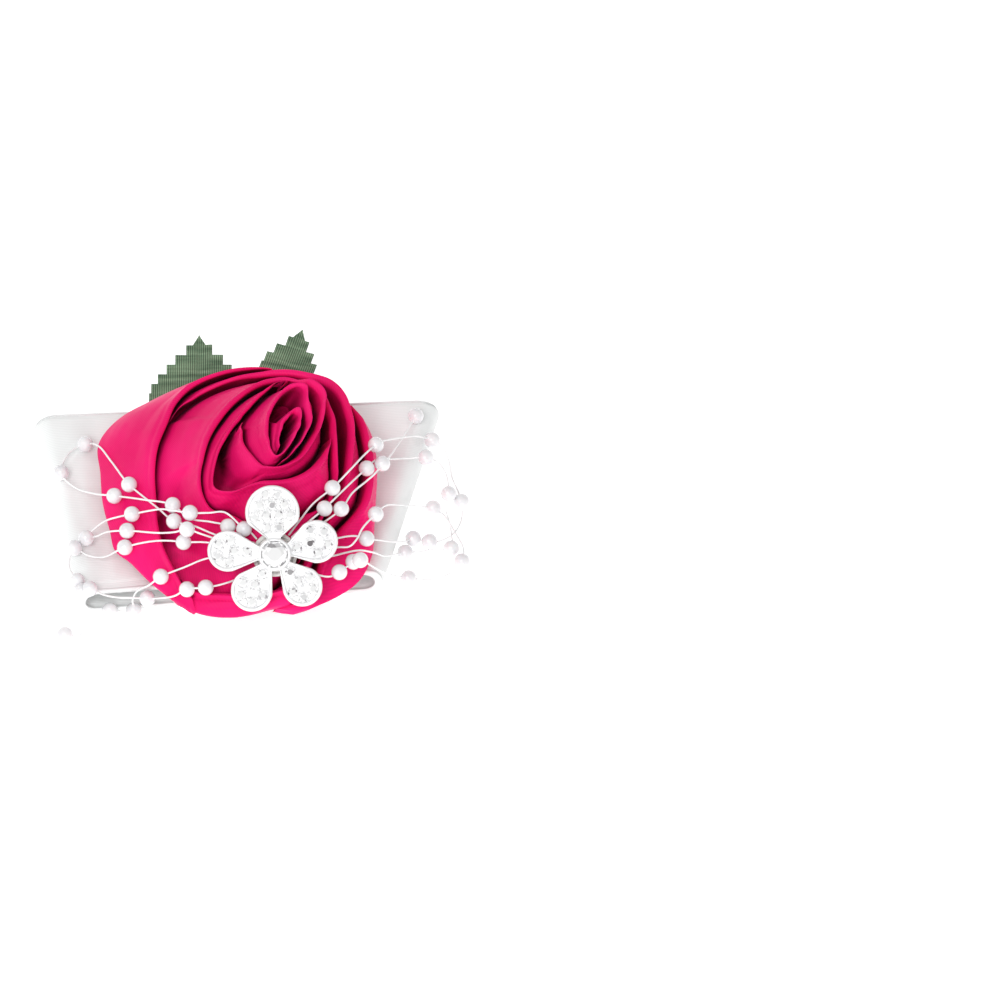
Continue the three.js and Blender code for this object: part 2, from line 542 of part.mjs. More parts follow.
// Pearl strands: each is one filament with its pearls moulded on it. A route is a row of places in millimetres
// as seen square on to the brooch: across, up the slope, and off the slope. A pearl sits where the row says so.
const PEARL = "pearl";
const strands = {
  pearl_strand_left_back: [
    [4, -7.3, 33.2], [-0.2, -5.8, 32.6], [-4.8, -4.4, 32], [-9.4, -2.5, 31.2], [-14, -1.4, 29, PEARL],
    [-17.5, 1.4, 25.4], [-19.8, 3.2, 23.1], [-24.4, 7, 20, PEARL], [-28.5, 12.2, 12], [-31.7, 15.9, 5.8],
    [-34.7, 16.3, 1.5, PEARL], [-38.2, 14.5, 2.4], [-40.2, 9.7, 5.9, PEARL], [-37, 6.4, 9.6],
    [-32.4, 4.9, 14.4], [-27.8, 4.4, 18.6, PEARL], [-20.9, 3.5, 24.6], [-14.3, 2.3, 28.2, PEARL],
    [-10.6, -0.7, 29.9], [-5.4, -1.6, 32], [-1.6, -2.6, 32, PEARL], [0.9, -5.4, 31.8], [4.5, -6.4, 32.6],
  ],
  pearl_strand_left_middle: [
    [5, -5.5, 32.9], [3.6, -4, 32.4], [2.1, -3.2, 32.8, PEARL], [-2.3, 0.6, 32.6], [-6, 0.5, 32.6],
    [-10.3, 0.5, 32.3, PEARL], [-13.8, 1, 31.4], [-15.2, 1.2, 30.8], [-17.5, 1.3, 27.4],
    [-23.7, 0.2, 23.6, PEARL], [-27.1, -0.5, 21.2], [-29.9, -1.4, 18.6], [-32.2, -3, 16.9],
    [-34.3, -5.3, 16.7, PEARL], [-32, -4.9, 17.6], [-29.4, -3.9, 20.6], [-24.8, -3.6, 24.4, PEARL],
    [-17.5, -4.1, 28.2], [-13.8, -3.9, 31], [-11, -3.3, 33.2, PEARL], [-7.8, -4.3, 33], [-4.6, -5.4, 32.4],
    [-0.2, -6.7, 32.4], [3.8, -7.9, 32.4],
  ],
  pearl_strand_left_front: [
    [4.8, -12.2, 32.8], [0.9, -14.5, 31.8], [-2.8, -15.8, 32.2], [-6.7, -16.6, 33.5, PEARL],
    [-11, -17, 32.1, PEARL], [-13.8, -18.5, 30.5], [-16.8, -19, 26.6], [-20.2, -19.1, 22.4, PEARL],
    [-23.5, -19, 23.4], [-26.9, -18.9, 23.2], [-30.4, -18.2, 23.4], [-33.4, -16.9, 24.4, PEARL],
    [-35.2, -17.4, 23.6, PEARL], [-36.3, -15.1, 22.4, PEARL], [-38.2, -11.7, 19.5],
    [-37, -7.6, 17.4, PEARL], [-34, -9.2, 18.6], [-30.6, -9.7, 19.6], [-25.3, -7.4, 24.6, PEARL],
    [-20.9, -6.3, 25.9], [-17.5, -5.9, 27.4], [-14.7, -5.9, 28.8], [-11.8, -6.2, 30.7, PEARL],
    [-6.2, -6.3, 31.4], [-1.4, -7.6, 32.4], [3.7, -8.7, 33],
  ],
  pearl_strand_tail: [
    [3.7, -9.7, 32.3], [-1.4, -9.9, 31.8], [-6.2, -9.9, 31], [-11.7, -12, 29.8], [-17, -14.1, 29.9, PEARL],
    [-19.8, -16.1, 26.5], [-22.2, -17.2, 24.8], [-23.6, -19.6, 20.8], [-23.3, -21.9, 18.6, PEARL],
    [-26, -22.1, 18.2], [-28.8, -21.9, 19, PEARL], [-31.7, -23.9, 17.9], [-34, -26.2, 19.1],
    [-36.3, -27.8, 20.2], [-39.1, -27.4, 22, PEARL],
  ],
  pearl_strand_right_back: [
    [12.3, -4.6, 32.9], [14.7, -1.4, 32.4], [17.9, 2.6, 31.4], [22.3, 6.2, 30, PEARL], [26.2, 10.2, 27.4],
    [29.4, 13.6, 22.5], [32.2, 16.1, 15.6, PEARL], [34, 17, 11.5], [37.7, 17.7, 6], [41.4, 18.1, 2.4],
    [45.1, 17.2, -1.8, PEARL], [47.6, 15.6, -2.6], [49, 12.2, -2.4], [49.7, 8.5, -1.8], [51.1, 5.3, -1],
    [51.8, 3.1, 0.5, PEARL], [52, 0, 0.9], [50.4, -3.9, 3.6], [46.9, -6, 5.6], [44.5, -6.1, 6.9, PEARL],
    [40.7, -5.4, 6.6, PEARL], [38.9, -6.1, 11], [35.9, -6.1, 16.2], [33.1, -5.8, 21],
    [30.1, -5.4, 27.4, PEARL], [27.4, -4.8, 27.8], [23.5, -5.3, 29], [19.3, -6.4, 30.8],
    [14.6, -8.3, 32.9],
  ],
  pearl_strand_right_middle: [
    [12.9, -5.2, 32.5], [16.6, -1.8, 32.2], [20.5, 1.5, 31.7, PEARL], [25.1, 6, 28.4], [27.8, 8.6, 23.6],
    [30.1, 10.7, 19.2, PEARL], [31.9, 12.4, 16.8], [35.4, 12.8, 9.5], [38.9, 13, 5.2],
    [43.7, 13.2, 2.6, PEARL], [46.5, 12, 1.2], [48.3, 9.4, 1.4], [48.9, 4.9, 2.5, PEARL], [48.2, 1.6, 1.2],
    [49, -1.6, 1.9], [49.5, -4.4, 5.2], [49.5, -7.6, 8, PEARL], [44.6, -8.1, 6.4], [41.9, -8.5, 7.4],
    [38.9, -8.6, 8.7, PEARL], [36.3, -9.1, 14.9], [34.3, -9.4, 18.8], [31.3, -8.5, 26.4],
    [28.5, -8.1, 28.4], [25.1, -8.7, 28.8], [22.3, -9.4, 29.8], [18.2, -9.9, 31.4], [14.6, -9.8, 32.5],
  ],
  pearl_strand_right_front: [
    [14.6, -9, 33.3], [18.9, -8.3, 31.8], [23.5, -7.4, 30], [26.2, -7.2, 29.8], [27.9, -5.5, 29.7],
    [29.2, -3, 28.8], [32.2, 0.2, 24.8, PEARL], [34.3, 2.1, 19], [37.7, 2.3, 10], [41.9, 2, 4.6],
    [45.3, 1.6, 1.6, PEARL], [47.1, 0.5, 1.3], [48.5, -0.9, 3], [50.6, -4.4, 5], [52.2, -7.4, 6.4],
    [52, -10.6, 10.2, PEARL], [49.7, -13.1, 10], [45.1, -14.8, 11.2], [39.7, -14.5, 12.9, PEARL],
    [36.8, -14, 14.4], [34.5, -13.3, 18.4], [32.2, -12.2, 23.6], [28.7, -10.3, 33.2, PEARL],
    [27.1, -10.7, 29.4, PEARL], [23.9, -13.1, 31.5, PEARL], [21.6, -14.1, 30.6], [18.2, -13.5, 31],
    [15.4, -12.7, 31.8], [13.5, -12, 32.6],
  ],
  pearl_strand_right_open: [
    [13.8, -6.2, 32.2], [17.2, -3.5, 30.8], [20.7, -1.4, 30], [24.3, 1.4, 30.3, PEARL], [26.9, 5.1, 26.6],
    [30.1, 7.8, 22.8], [32.2, 9.7, 20.6], [33.7, 11.8, 17.6, PEARL], [35.2, 13.3, 12], [37.5, 16.6, 4],
    [39.6, 20, -0.6], [41.3, 22.8, -3.1, PEARL],
  ],
};

const onSlope = ([across, up, off]) => new THREE.Vector3(across, up, off).applyEuler(brooch.rotation);

function strand(route) {
  const path = new THREE.CatmullRomCurve3(route.map(onSlope));
  const section = new THREE.Shape();
  section.absarc(0, 0, FILAMENT_DIAMETER / 2, 0, Math.PI * 2, false);
  const steps = Math.round(path.getLength() / FILAMENT_STEP);
  const tube = { steps, extrudePath: path, curveSegments: FILAMENT_FACES / 2, bevelEnabled: false };
  let body = toSolid(new THREE.ExtrudeGeometry(section, tube));
  for (const place of route.filter((row) => row.includes(PEARL))) {
    const pearl = new THREE.SphereGeometry(PEARL_DIAMETER / 2, PEARL_FACES, PEARL_ROWS);
    pearl.translate(...onSlope(place).toArray());
    body = body.add(toSolid(pearl));
  }
  return toGeometry(body);
}

for (const [name, route] of Object.entries(strands)) addPiece(name, strand(route), finishes.pearl);

export default corsage;
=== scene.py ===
"""The looks of a wrist corsage: satin rose, leaves, pearl strands and jewelled brooch on a wide satin band.
Lengths in the tables are millimetres and become metres where a mesh is made. +Z is up, the table is z = 0."""
import math

import bpy
import numpy as np
from mathutils import Matrix, Vector, noise
from mathutils.bvhtree import BVHTree


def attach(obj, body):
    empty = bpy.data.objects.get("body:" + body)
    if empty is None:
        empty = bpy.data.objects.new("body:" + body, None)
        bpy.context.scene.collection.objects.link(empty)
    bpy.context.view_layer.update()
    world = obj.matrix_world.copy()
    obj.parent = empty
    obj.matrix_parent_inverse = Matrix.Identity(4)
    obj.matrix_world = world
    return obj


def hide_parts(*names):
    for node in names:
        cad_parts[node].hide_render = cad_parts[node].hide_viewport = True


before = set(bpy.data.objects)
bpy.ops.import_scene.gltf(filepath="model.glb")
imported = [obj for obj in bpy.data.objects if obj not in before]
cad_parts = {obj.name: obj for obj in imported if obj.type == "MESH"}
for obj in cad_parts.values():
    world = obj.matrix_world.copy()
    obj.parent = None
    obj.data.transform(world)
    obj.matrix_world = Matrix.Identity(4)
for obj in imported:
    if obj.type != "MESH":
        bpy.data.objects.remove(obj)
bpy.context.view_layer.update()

MM = 0.001
DEGREE = math.pi / 180
FULL_TURN = 360
ORIGIN = Vector((0, 0, 0))


def put(name, data):
    """An object that shows the data, in the scene."""
    thing = bpy.data.objects.new(name, data)
    bpy.context.scene.collection.objects.link(thing)
    return thing


def point_along(thing, direction):
    """Turns a camera or lamp to look in a direction."""
    thing.rotation_mode = "QUATERNION"
    thing.rotation_quaternion = direction.to_track_quat("-Z", "Y")


# Camera: a long lens at the photograph's angle; a pixel is PIXEL wide on the corsage
PIXEL = 0.23
FRAME_PIXELS = 1000
SENSOR = 36
LENS = 1200
VIEW_ELEVATION = 55 * DEGREE
AIM = Vector((60.7, 2.8, 2.0)) * MM


def make_camera():
    data = bpy.data.cameras.new("camera")
    data.sensor_width = SENSOR
    data.lens = LENS
    data.clip_end = 20
    camera = put("camera", data)
    back = Vector((0, -math.cos(VIEW_ELEVATION), math.sin(VIEW_ELEVATION)))
    camera.location = AIM + back * (PIXEL * MM * FRAME_PIXELS * LENS / SENSOR)
    point_along(camera, -back)
    bpy.context.scene.camera = camera


make_camera()

# Node helpers


def new_material(name, **sockets):
    """A material of one Principled shader, and the functions that link its sockets and add nodes to it."""
    material = bpy.data.materials.new(name)
    material.use_nodes = True
    tree = material.node_tree
    shader = tree.nodes["Principled BSDF"]
    for key, value in sockets.items():
        shader.inputs[key.replace("_", " ")].default_value = value

    def link(**outs):
        for key, out in outs.items():
            tree.links.new(out, shader.inputs[key.replace("_", " ")])

    def make(kind, inputs=None, **settings):
        node = tree.nodes.new(kind)
        for key, value in settings.items():
            setattr(node, key, value)
        for key, value in (inputs or {}).items():
            if isinstance(value, bpy.types.NodeSocket):
                tree.links.new(value, node.inputs[key])
            else:
                node.inputs[key].default_value = value
        return node

    return material, link, make


def noise_of(make, vector, scale, detail):
    return make("ShaderNodeTexNoise", {"Vector": vector, "Scale": scale, "Detail": detail}).outputs["Fac"]


def ramp_of(make, factor, stops):
    """A colour ramp through (position, grey or colour) stops."""
    ramp = make("ShaderNodeValToRGB", {"Fac": factor})
    elements = ramp.color_ramp.elements
    while len(elements) < len(stops):
        elements.new(0.5)
    for element, (position, colour) in zip(elements, stops):
        element.position = position
        element.color = (*colour, 1) if isinstance(colour, tuple) else (colour, colour, colour, 1)
    return ramp.outputs["Color"]


def two_tones(make, vector, scale, dark, light, low=0.35, high=0.65, detail=3.0):
    """A noise that runs from one grey or colour to another."""
    return ramp_of(make, noise_of(make, vector, scale, detail), [(low, dark), (high, light)])


MIX_FIRST, MIX_SECOND, MIX_RESULT = 6, 7, 2  # the colour sockets of a mix node


def times(make, first, second):
    """One colour multiplied by another."""
    node = make("ShaderNodeMix", {0: 1.0, MIX_FIRST: first, MIX_SECOND: second}, data_type="RGBA",
                blend_type="MULTIPLY")
    return node.outputs[MIX_RESULT]


WAVE_PERIOD = math.pi / 10  # of a band texture at scale 1, in the units of its vector


def ribs(make, vector, period, turn, distortion=0.0):
    """Fine parallel ribs a period apart, in millimetres, turned in the plane of the vector."""
    turned = make("ShaderNodeMapping", {"Vector": vector, "Rotation": (0, 0, turn * DEGREE)})
    scale = WAVE_PERIOD / (period * MM)
    wave = make("ShaderNodeTexWave",
                {"Vector": turned.outputs["Vector"], "Scale": scale, "Distortion": distortion})
    return wave.outputs["Fac"]


def bumps(make, layers):
    """Bump nodes in a row, each from (height, depth in millimetres, strength)."""
    normal = None
    for height, depth, strength in layers:
        inputs = {"Height": height, "Distance": depth * MM, "Strength": strength}
        if normal is not None:
            inputs["Normal"] = normal
        normal = make("ShaderNodeBump", inputs).outputs["Normal"]
    return normal


# Painted shade: deep in the folds the satin's colour is darkened by its openness, the share of sky a point
# sees; stops of openness, and what the painted shade leaves of the colour
PAINTED_FOLD_SHADE = [(0.03, 0.015), (0.15, (0.2, 0.12, 0.14)), (0.32, (0.66, 0.58, 0.6)), (0.52, 1.0)]


def satin(name, dark, light, rib_period, rib_turn, painted_shading=None, **sockets):
    """Satin in two tones with fine ribs; the optional stops paint shade into its colour by its openness."""
    material, link, make = new_material(name, **sockets)
    place = make("ShaderNodeTexCoord").outputs
    link(Tangent=make("ShaderNodeTangent", direction_type="UV_MAP").outputs["Tangent"])
    tones = two_tones(make, place["Object"], 55, dark, light)
    weave = ribs(make, place["UV"], rib_period, rib_turn)
    tones = times(make, tones, ramp_of(make, weave, [(0.2, 0.94), (0.8, 1.0)]))
    # painted shade: the colour is darkened where the satin sees little sky, deep in the folds
    if painted_shading:
        seen = make("ShaderNodeAttribute", attribute_name="openness")
        tones = times(make, tones, ramp_of(make, seen.outputs["Fac"], painted_shading))
    crumple = noise_of(make, place["Object"], 420, 4.0)
    link(Base_Color=tones, Normal=bumps(make, [(crumple, 0.12, 0.3), (weave, 0.03, 0.6)]))
    return material


fuchsia = satin("fuchsia_satin", (0.82, 0.005, 0.135), (0.95, 0.010, 0.18), rib_period=0.56, rib_turn=40,
                painted_shading=PAINTED_FOLD_SHADE, Roughness=0.46, Anisotropic=0.5, Specular_IOR_Level=0.35,
                Specular_Tint=(1.0, 0.3, 0.55, 1), Sheen_Weight=0.05, Sheen_Roughness=0.4,
                Sheen_Tint=(1.0, 0.3, 0.6, 1))
ivory = satin("ivory_satin", (0.88, 0.895, 0.89), (0.935, 0.95, 0.945), rib_period=0.45, rib_turn=90,
              Roughness=0.45, Anisotropic=0.4, Specular_IOR_Level=0.3, Sheen_Weight=0.1, Sheen_Roughness=0.4)


def plain_material(name, scale, dark, light, grain=None, rough=None, detail=3.0, **sockets):
    """Two greys or colours with fine bumps: grain is their scale, detail, depth and strength."""
    material, link, make = new_material(name, **sockets)
    place = make("ShaderNodeTexCoord").outputs["Object"]
    link(Base_Color=two_tones(make, place, scale, dark, light, detail=detail))
    if grain:
        grain_scale, grain_detail, depth, strength = grain
        fine = noise_of(make, place, grain_scale, grain_detail)
        link(Normal=bumps(make, [(fine, depth, strength)]))
        if rough:
            spread = make("ShaderNodeMapRange", {"Value": fine, "To Min": rough[0], "To Max": rough[1]})
            link(Roughness=spread.outputs["Result"])
    return material


def leaf_material():
    material, link, make = new_material("leaf_cloth", Roughness=0.7, Specular_IOR_Level=0.25,
                                        Sheen_Weight=0.1, Sheen_Roughness=0.5, Sheen_Tint=(0.6, 0.8, 0.6, 1))
    place = make("ShaderNodeTexCoord").outputs["UV"]
    thread = ribs(make, place, 0.5, 0, 0.5)
    streaks = make("ShaderNodeMapping", {"Vector": place, "Scale": (90, 700, 1)}).outputs["Vector"]
    bands = two_tones(make, streaks, 1.0, (0.11, 0.19, 0.112), (0.25, 0.38, 0.235), 0.36, 0.66)
    link(Base_Color=times(make, bands, ramp_of(make, thread, [(0.25, 0.42), (0.75, 1.2)])))
    cross = ribs(make, place, 0.9, 90, 0.8)
    link(Normal=bumps(make, [(thread, 0.08, 0.7), (cross, 0.06, 0.5)]))
    return material


def crystal_material():
    """Foiled glass with painted glints: each facet's colour gets its own brightness, a painted reflection of
    the light its foil would send back or not.
    """
    material, link, make = new_material("crystal", Metallic=0.5, Roughness=0.06, Coat_Weight=0.6,
                                        Coat_Roughness=0.02)
    # painted glints and painted shade, one brightness per facet
    painted_facet_shading = make("ShaderNodeAttribute", attribute_name="painted_facet_shading").outputs["Fac"]
    glints = [(0.05, (0.22, 0.20, 0.21)), (0.16, (0.55, 0.54, 0.55)), (0.3, (0.86, 0.86, 0.87)), (0.5, 1.0)]
    link(Base_Color=ramp_of(make, painted_facet_shading, glints))
    return material


pearl = plain_material("pearl", 300, (0.77, 0.755, 0.78), (0.86, 0.85, 0.86), (700, 3.0, 0.02, 0.3),
                       Roughness=0.16, Coat_Weight=0.6, Coat_Roughness=0.06, Subsurface_Weight=0.25,
                       Subsurface_Scale=0.6 * MM, Subsurface_Radius=(1.0, 0.9, 0.85))
filament = plain_material("filament", 500, 0.86, 0.95, Roughness=0.3, Coat_Weight=0.3)
felt = plain_material("felt", 900, (0.72, 0.70, 0.67), (0.88, 0.87, 0.84), (2500, 5.0, 0.15, 0.8), detail=6.0,
                      Roughness=0.95, Sheen_Weight=0.3)
silver = plain_material("bright_silver", 260, (0.80, 0.80, 0.81), 0.90, (800, 3.0, 0.03, 0.4),
                        rough=(0.14, 0.3), Metallic=0.3)
leaf_cloth, crystal = leaf_material(), crystal_material()

# Mesh helpers


def grid_faces(rows, columns, closed=False, looped=False):
    """Quads between rows of points; closed joins the last column to the first, and looped the last row."""
    faces = []
    for i in range(rows if looped else rows - 1):
        for j in range(columns if closed else columns - 1):
            a, b, k = i * columns, (i + 1) % rows * columns, (j + 1) % columns
            faces.append((a + j, a + k, b + k, b + j))
    return faces


def turned(profile, faces_round, centre, wobble=0.0):
    """Points and faces of a profile of (radius, height) turned round z, closed at both ends on the axis."""
    points = [centre + Vector((0, 0, profile[0][1]))]
    for radius, height in profile[1:-1]:
        for j in range(faces_round):
            turn = 2 * math.pi * j / faces_round
            r = radius * (1 + wobble * noise.noise(Vector((math.cos(turn) * 3, math.sin(turn) * 3, 1.0))))
            points.append(centre + Vector((r * math.cos(turn), r * math.sin(turn), height)))
    points.append(centre + Vector((0, 0, profile[-1][1])))
    faces = [tuple(1 + i for i in face) for face in grid_faces(len(profile) - 2, faces_round, closed=True)]
    top = len(points) - 1 - faces_round
    for j in range(faces_round):
        k = (j + 1) % faces_round
        faces += [(0, 1 + k, 1 + j), (top + j, top + k, len(points) - 1)]
    return points, faces


def sphere(centre, radius, faces_round, rows):
    """Points and faces of a ball, centre in millimetres."""
    profile = [(radius * math.sin(a), -radius * math.cos(a)) for a in np.linspace(0, math.pi, rows + 1)]
    return turned(profile, faces_round, centre)


def ring(centre, radius, thickness, height, sides=8, count=28):
    """A low round collar about centre, on the plane z = height."""
    points = []
    for i in range(count):
        turn = 2 * math.pi * i / count
        for j in range(sides):
            angle = -2 * math.pi * j / sides
            r = radius + thickness * math.cos(angle)
            points.append(Vector((centre.x + r * math.cos(turn), centre.y + r * math.sin(turn),
                                  height + thickness * math.sin(angle))))
    return points, grid_faces(count, sides, closed=True, looped=True)


def joined(parts):
    """One list of points and faces from several."""
    points, faces = [], []
    for some_points, some_faces in parts:
        start = len(points)
        points += [tuple(p) for p in some_points]
        faces += [tuple(start + i for i in face) for face in some_faces]
    return points, faces


def new_piece(name, points, faces, material, slot, replaced=(), uv=None, smooth=True):
    """A mesh object; its slot argument is not used; points and their uv places are in millimetres."""
    mesh = bpy.data.meshes.new(name)
    mesh.from_pydata([tuple(p) for p in np.asarray(points, float) * MM], [], faces)
    mesh.validate()
    if uv is not None:
        layer = mesh.uv_layers.new(name="UVMap")
        corner = np.zeros(len(mesh.loops), np.int32)
        mesh.loops.foreach_get("vertex_index", corner)
        layer.data.foreach_set("uv", (np.asarray(uv, float)[corner] * MM).astype(np.float32).ravel())
    mesh.polygons.foreach_set("use_smooth", [smooth] * len(mesh.polygons))
    mesh.materials.append(material)
    mesh.update()
    piece = put(name, mesh)
    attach(piece, "root")
    if replaced:
        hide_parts(*replaced)
    return piece


def thicken(piece, thickness, offset=-1.0):
    solid = piece.modifiers.new("thickness", "SOLIDIFY")
    solid.thickness = thickness * MM
    solid.offset = offset
    solid.use_even_offset = False


def lengths_along(points, axis):
    """Running length of a grid of points along one of its axes, starting at nothing."""
    steps = np.linalg.norm(np.diff(points, axis=axis), axis=-1)
    start = np.zeros_like(np.take(steps, [0], axis=axis))
    return np.concatenate([start, np.cumsum(steps, axis=axis)], axis=axis)


def along_and_across(points):
    """Running lengths of a grid: along its columns, as their mean, and across them."""
    across = lengths_along(points, 1)
    return lengths_along(points, 0).mean(axis=1, keepdims=True) * np.ones_like(across), across


def surface_normals(points):
    """Unit normals of a grid of points, rows by columns."""
    along = np.gradient(points, axis=0)
    across = np.gradient(points, axis=1)
    normal = np.cross(across, along)
    return normal / np.maximum(np.linalg.norm(normal, axis=-1, keepdims=True), 1e-9)


def cloud(*coordinates):
    """Smooth noise from -1 to 1 at places given by three arrays of coordinates."""
    places = np.stack(coordinates, axis=-1)
    values = [noise.fractal(Vector(p), 1.0, 2.0, 2) for p in places.reshape(-1, 3)]
    return np.array(values).reshape(places.shape[:-1])


def cubic(start, leave, end, arrive, t):
    """From start to end as t goes from 0 to 1, with the slopes leave and arrive at the ends."""
    return (start * (2 * t**3 - 3 * t**2 + 1) + leave * (t**3 - 2 * t**2 + t)
            + end * (3 * t**2 - 2 * t**3) + arrive * (t**3 - t**2))


def eased(t):
    """From 0 to 1 as t goes there, level at both ends."""
    return t * t * (3 - 2 * t)


# Pearl strands: filament and pearls on the routes that the part's own solids follow
SLOPE = 35 * DEGREE  # a route's places are (across, up the slope, off the slope) of the brooch
PEARL_DIAMETER = 3.7
FILAMENT_DIAMETER = 0.45
PEARL = "pearl"  # ends a place that holds a pearl


def on_slope(across, up, off):
    return Vector((across, up * math.cos(SLOPE) - off * math.sin(SLOPE),
                   up * math.sin(SLOPE) + off * math.cos(SLOPE)))


def smooth_route(route, steps=10):
    """A centripetal spline through the route's points, in millimetres."""
    knots = [on_slope(*place) for place in route]
    knots = [2 * knots[0] - knots[1]] + knots + [2 * knots[-1] - knots[-2]]
    line = []
    for p0, p1, p2, p3 in zip(knots, knots[1:], knots[2:], knots[3:]):
        d0, d1, d2 = (math.sqrt((b - a).length) for a, b in ((p0, p1), (p1, p2), (p2, p3)))
        leave = ((p1 - p0) / d0 - (p2 - p0) / (d0 + d1) + (p2 - p1) / d1) * d1
        arrive = ((p2 - p1) / d1 - (p3 - p1) / (d1 + d2) + (p3 - p2) / d2) * d1
        line += [cubic(p1, leave, p2, arrive, i / steps) for i in range(steps)]
    return line + [knots[-2]]


def filament_curve(name, line):
    data = bpy.data.curves.new(name, "CURVE")
    data.dimensions = "3D"
    data.bevel_depth = FILAMENT_DIAMETER / 2 * MM
    data.bevel_resolution = 3
    data.use_fill_caps = True
    spline = data.splines.new("POLY")
    spline.points.add(len(line) - 1)
    for point, place in zip(spline.points, line):
        point.co = (*(place * MM), 1)
    data.materials.append(filament)
    curve = put(name, data)
    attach(curve, "root")
    return curve


def make_strand(side, route):
    """A strand's filament and pearls; its far end comes back to the tie unless it is bare."""
    name = "pearl_strand_" + side
    line = smooth_route([place[:3] for place in route])
    curve = filament_curve(name + "_filament", line)
    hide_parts(name)
    balls = [sphere(on_slope(*place[:3]), PEARL_DIAMETER / 2, 28, 18) for place in route if PEARL in place]
    beads = new_piece(name + "_pearls", *joined(balls), pearl, "pearl")


make_strand("left_back", [
    (4, -7.3, 33.2), (-0.2, -5.8, 32.6), (-4.8, -4.4, 32), (-9.4, -2.5, 31.2), (-14, -1.4, 29, PEARL),
    (-17.5, 1.4, 25.4), (-19.8, 3.2, 23.1), (-24.4, 7, 20, PEARL), (-28.5, 12.2, 12), (-31.7, 15.9, 5.8),
    (-34.7, 16.3, 1.5, PEARL), (-38.2, 14.5, 2.4), (-40.2, 9.7, 5.9, PEARL), (-37, 6.4, 9.6),
    (-32.4, 4.9, 14.4), (-27.8, 4.4, 18.6, PEARL), (-20.9, 3.5, 24.6), (-14.3, 2.3, 28.2, PEARL),
    (-10.6, -0.7, 29.9), (-5.4, -1.6, 32), (-1.6, -2.6, 32, PEARL), (0.9, -5.4, 31.8), (4.5, -6.4, 32.6),
])
make_strand("left_middle", [
    (5, -5.5, 32.9), (3.6, -4, 32.4), (2.1, -3.2, 32.8, PEARL), (-2.3, 0.6, 32.6), (-6, 0.5, 32.6),
    (-10.3, 0.5, 32.3, PEARL), (-13.8, 1, 31.4), (-15.2, 1.2, 30.8), (-17.5, 1.3, 27.4),
    (-23.7, 0.2, 23.6, PEARL), (-27.1, -0.5, 21.2), (-29.9, -1.4, 18.6), (-32.2, -3, 16.9),
    (-34.3, -5.3, 16.7, PEARL), (-32, -4.9, 17.6), (-29.4, -3.9, 20.6), (-24.8, -3.6, 24.4, PEARL),
    (-17.5, -4.1, 28.2), (-13.8, -3.9, 31), (-11, -3.3, 33.2, PEARL), (-7.8, -4.3, 33), (-4.6, -5.4, 32.4),
    (-0.2, -6.7, 32.4), (3.8, -7.9, 32.4),
])
make_strand("left_front", [
    (4.8, -12.2, 32.8), (0.9, -14.5, 31.8), (-2.8, -15.8, 32.2), (-6.7, -16.6, 33.5, PEARL),
    (-11, -17, 32.1, PEARL), (-13.8, -18.5, 30.5), (-16.8, -19, 26.6), (-20.2, -19.1, 22.4, PEARL),
    (-23.5, -19, 23.4), (-26.9, -18.9, 23.2), (-30.4, -18.2, 23.4), (-33.4, -16.9, 24.4, PEARL),
    (-35.2, -17.4, 23.6, PEARL), (-36.3, -15.1, 22.4, PEARL), (-38.2, -11.7, 19.5), (-37, -7.6, 17.4, PEARL),
    (-34, -9.2, 18.6), (-30.6, -9.7, 19.6), (-25.3, -7.4, 24.6, PEARL), (-20.9, -6.3, 25.9),
    (-17.5, -5.9, 27.4), (-14.7, -5.9, 28.8), (-11.8, -6.2, 30.7, PEARL), (-6.2, -6.3, 31.4),
    (-1.4, -7.6, 32.4), (3.7, -8.7, 33),
])
make_strand("tail", [
    (3.7, -9.7, 32.3), (-1.4, -9.9, 31.8), (-6.2, -9.9, 31), (-11.7, -12, 29.8), (-17, -14.1, 29.9, PEARL),
    (-19.8, -16.1, 26.5), (-22.2, -17.2, 24.8), (-23.6, -19.6, 20.8), (-23.3, -21.9, 18.6, PEARL),
    (-26, -22.1, 18.2), (-28.8, -21.9, 19, PEARL), (-31.7, -23.9, 17.9), (-34, -26.2, 19.1),
    (-36.3, -27.8, 20.2), (-39.1, -27.4, 22, PEARL),
])
make_strand("right_back", [
    (12.3, -4.6, 32.9), (14.7, -1.4, 32.4), (17.9, 2.6, 31.4), (22.3, 6.2, 30, PEARL), (26.2, 10.2, 27.4),
    (29.4, 13.6, 22.5), (32.2, 16.1, 15.6, PEARL), (34, 17, 11.5), (37.7, 17.7, 6), (41.4, 18.1, 2.4),
    (45.1, 17.2, -1.8, PEARL), (47.6, 15.6, -2.6), (49, 12.2, -2.4), (49.7, 8.5, -1.8), (51.1, 5.3, -1),
    (51.8, 3.1, 0.5, PEARL), (52, 0, 0.9), (50.4, -3.9, 3.6), (46.9, -6, 5.6), (44.5, -6.1, 6.9, PEARL),
    (40.7, -5.4, 6.6, PEARL), (38.9, -6.1, 11), (35.9, -6.1, 16.2), (33.1, -5.8, 21),
    (30.1, -5.4, 27.4, PEARL), (27.4, -4.8, 27.8), (23.5, -5.3, 29), (19.3, -6.4, 30.8), (14.6, -8.3, 32.9),
])
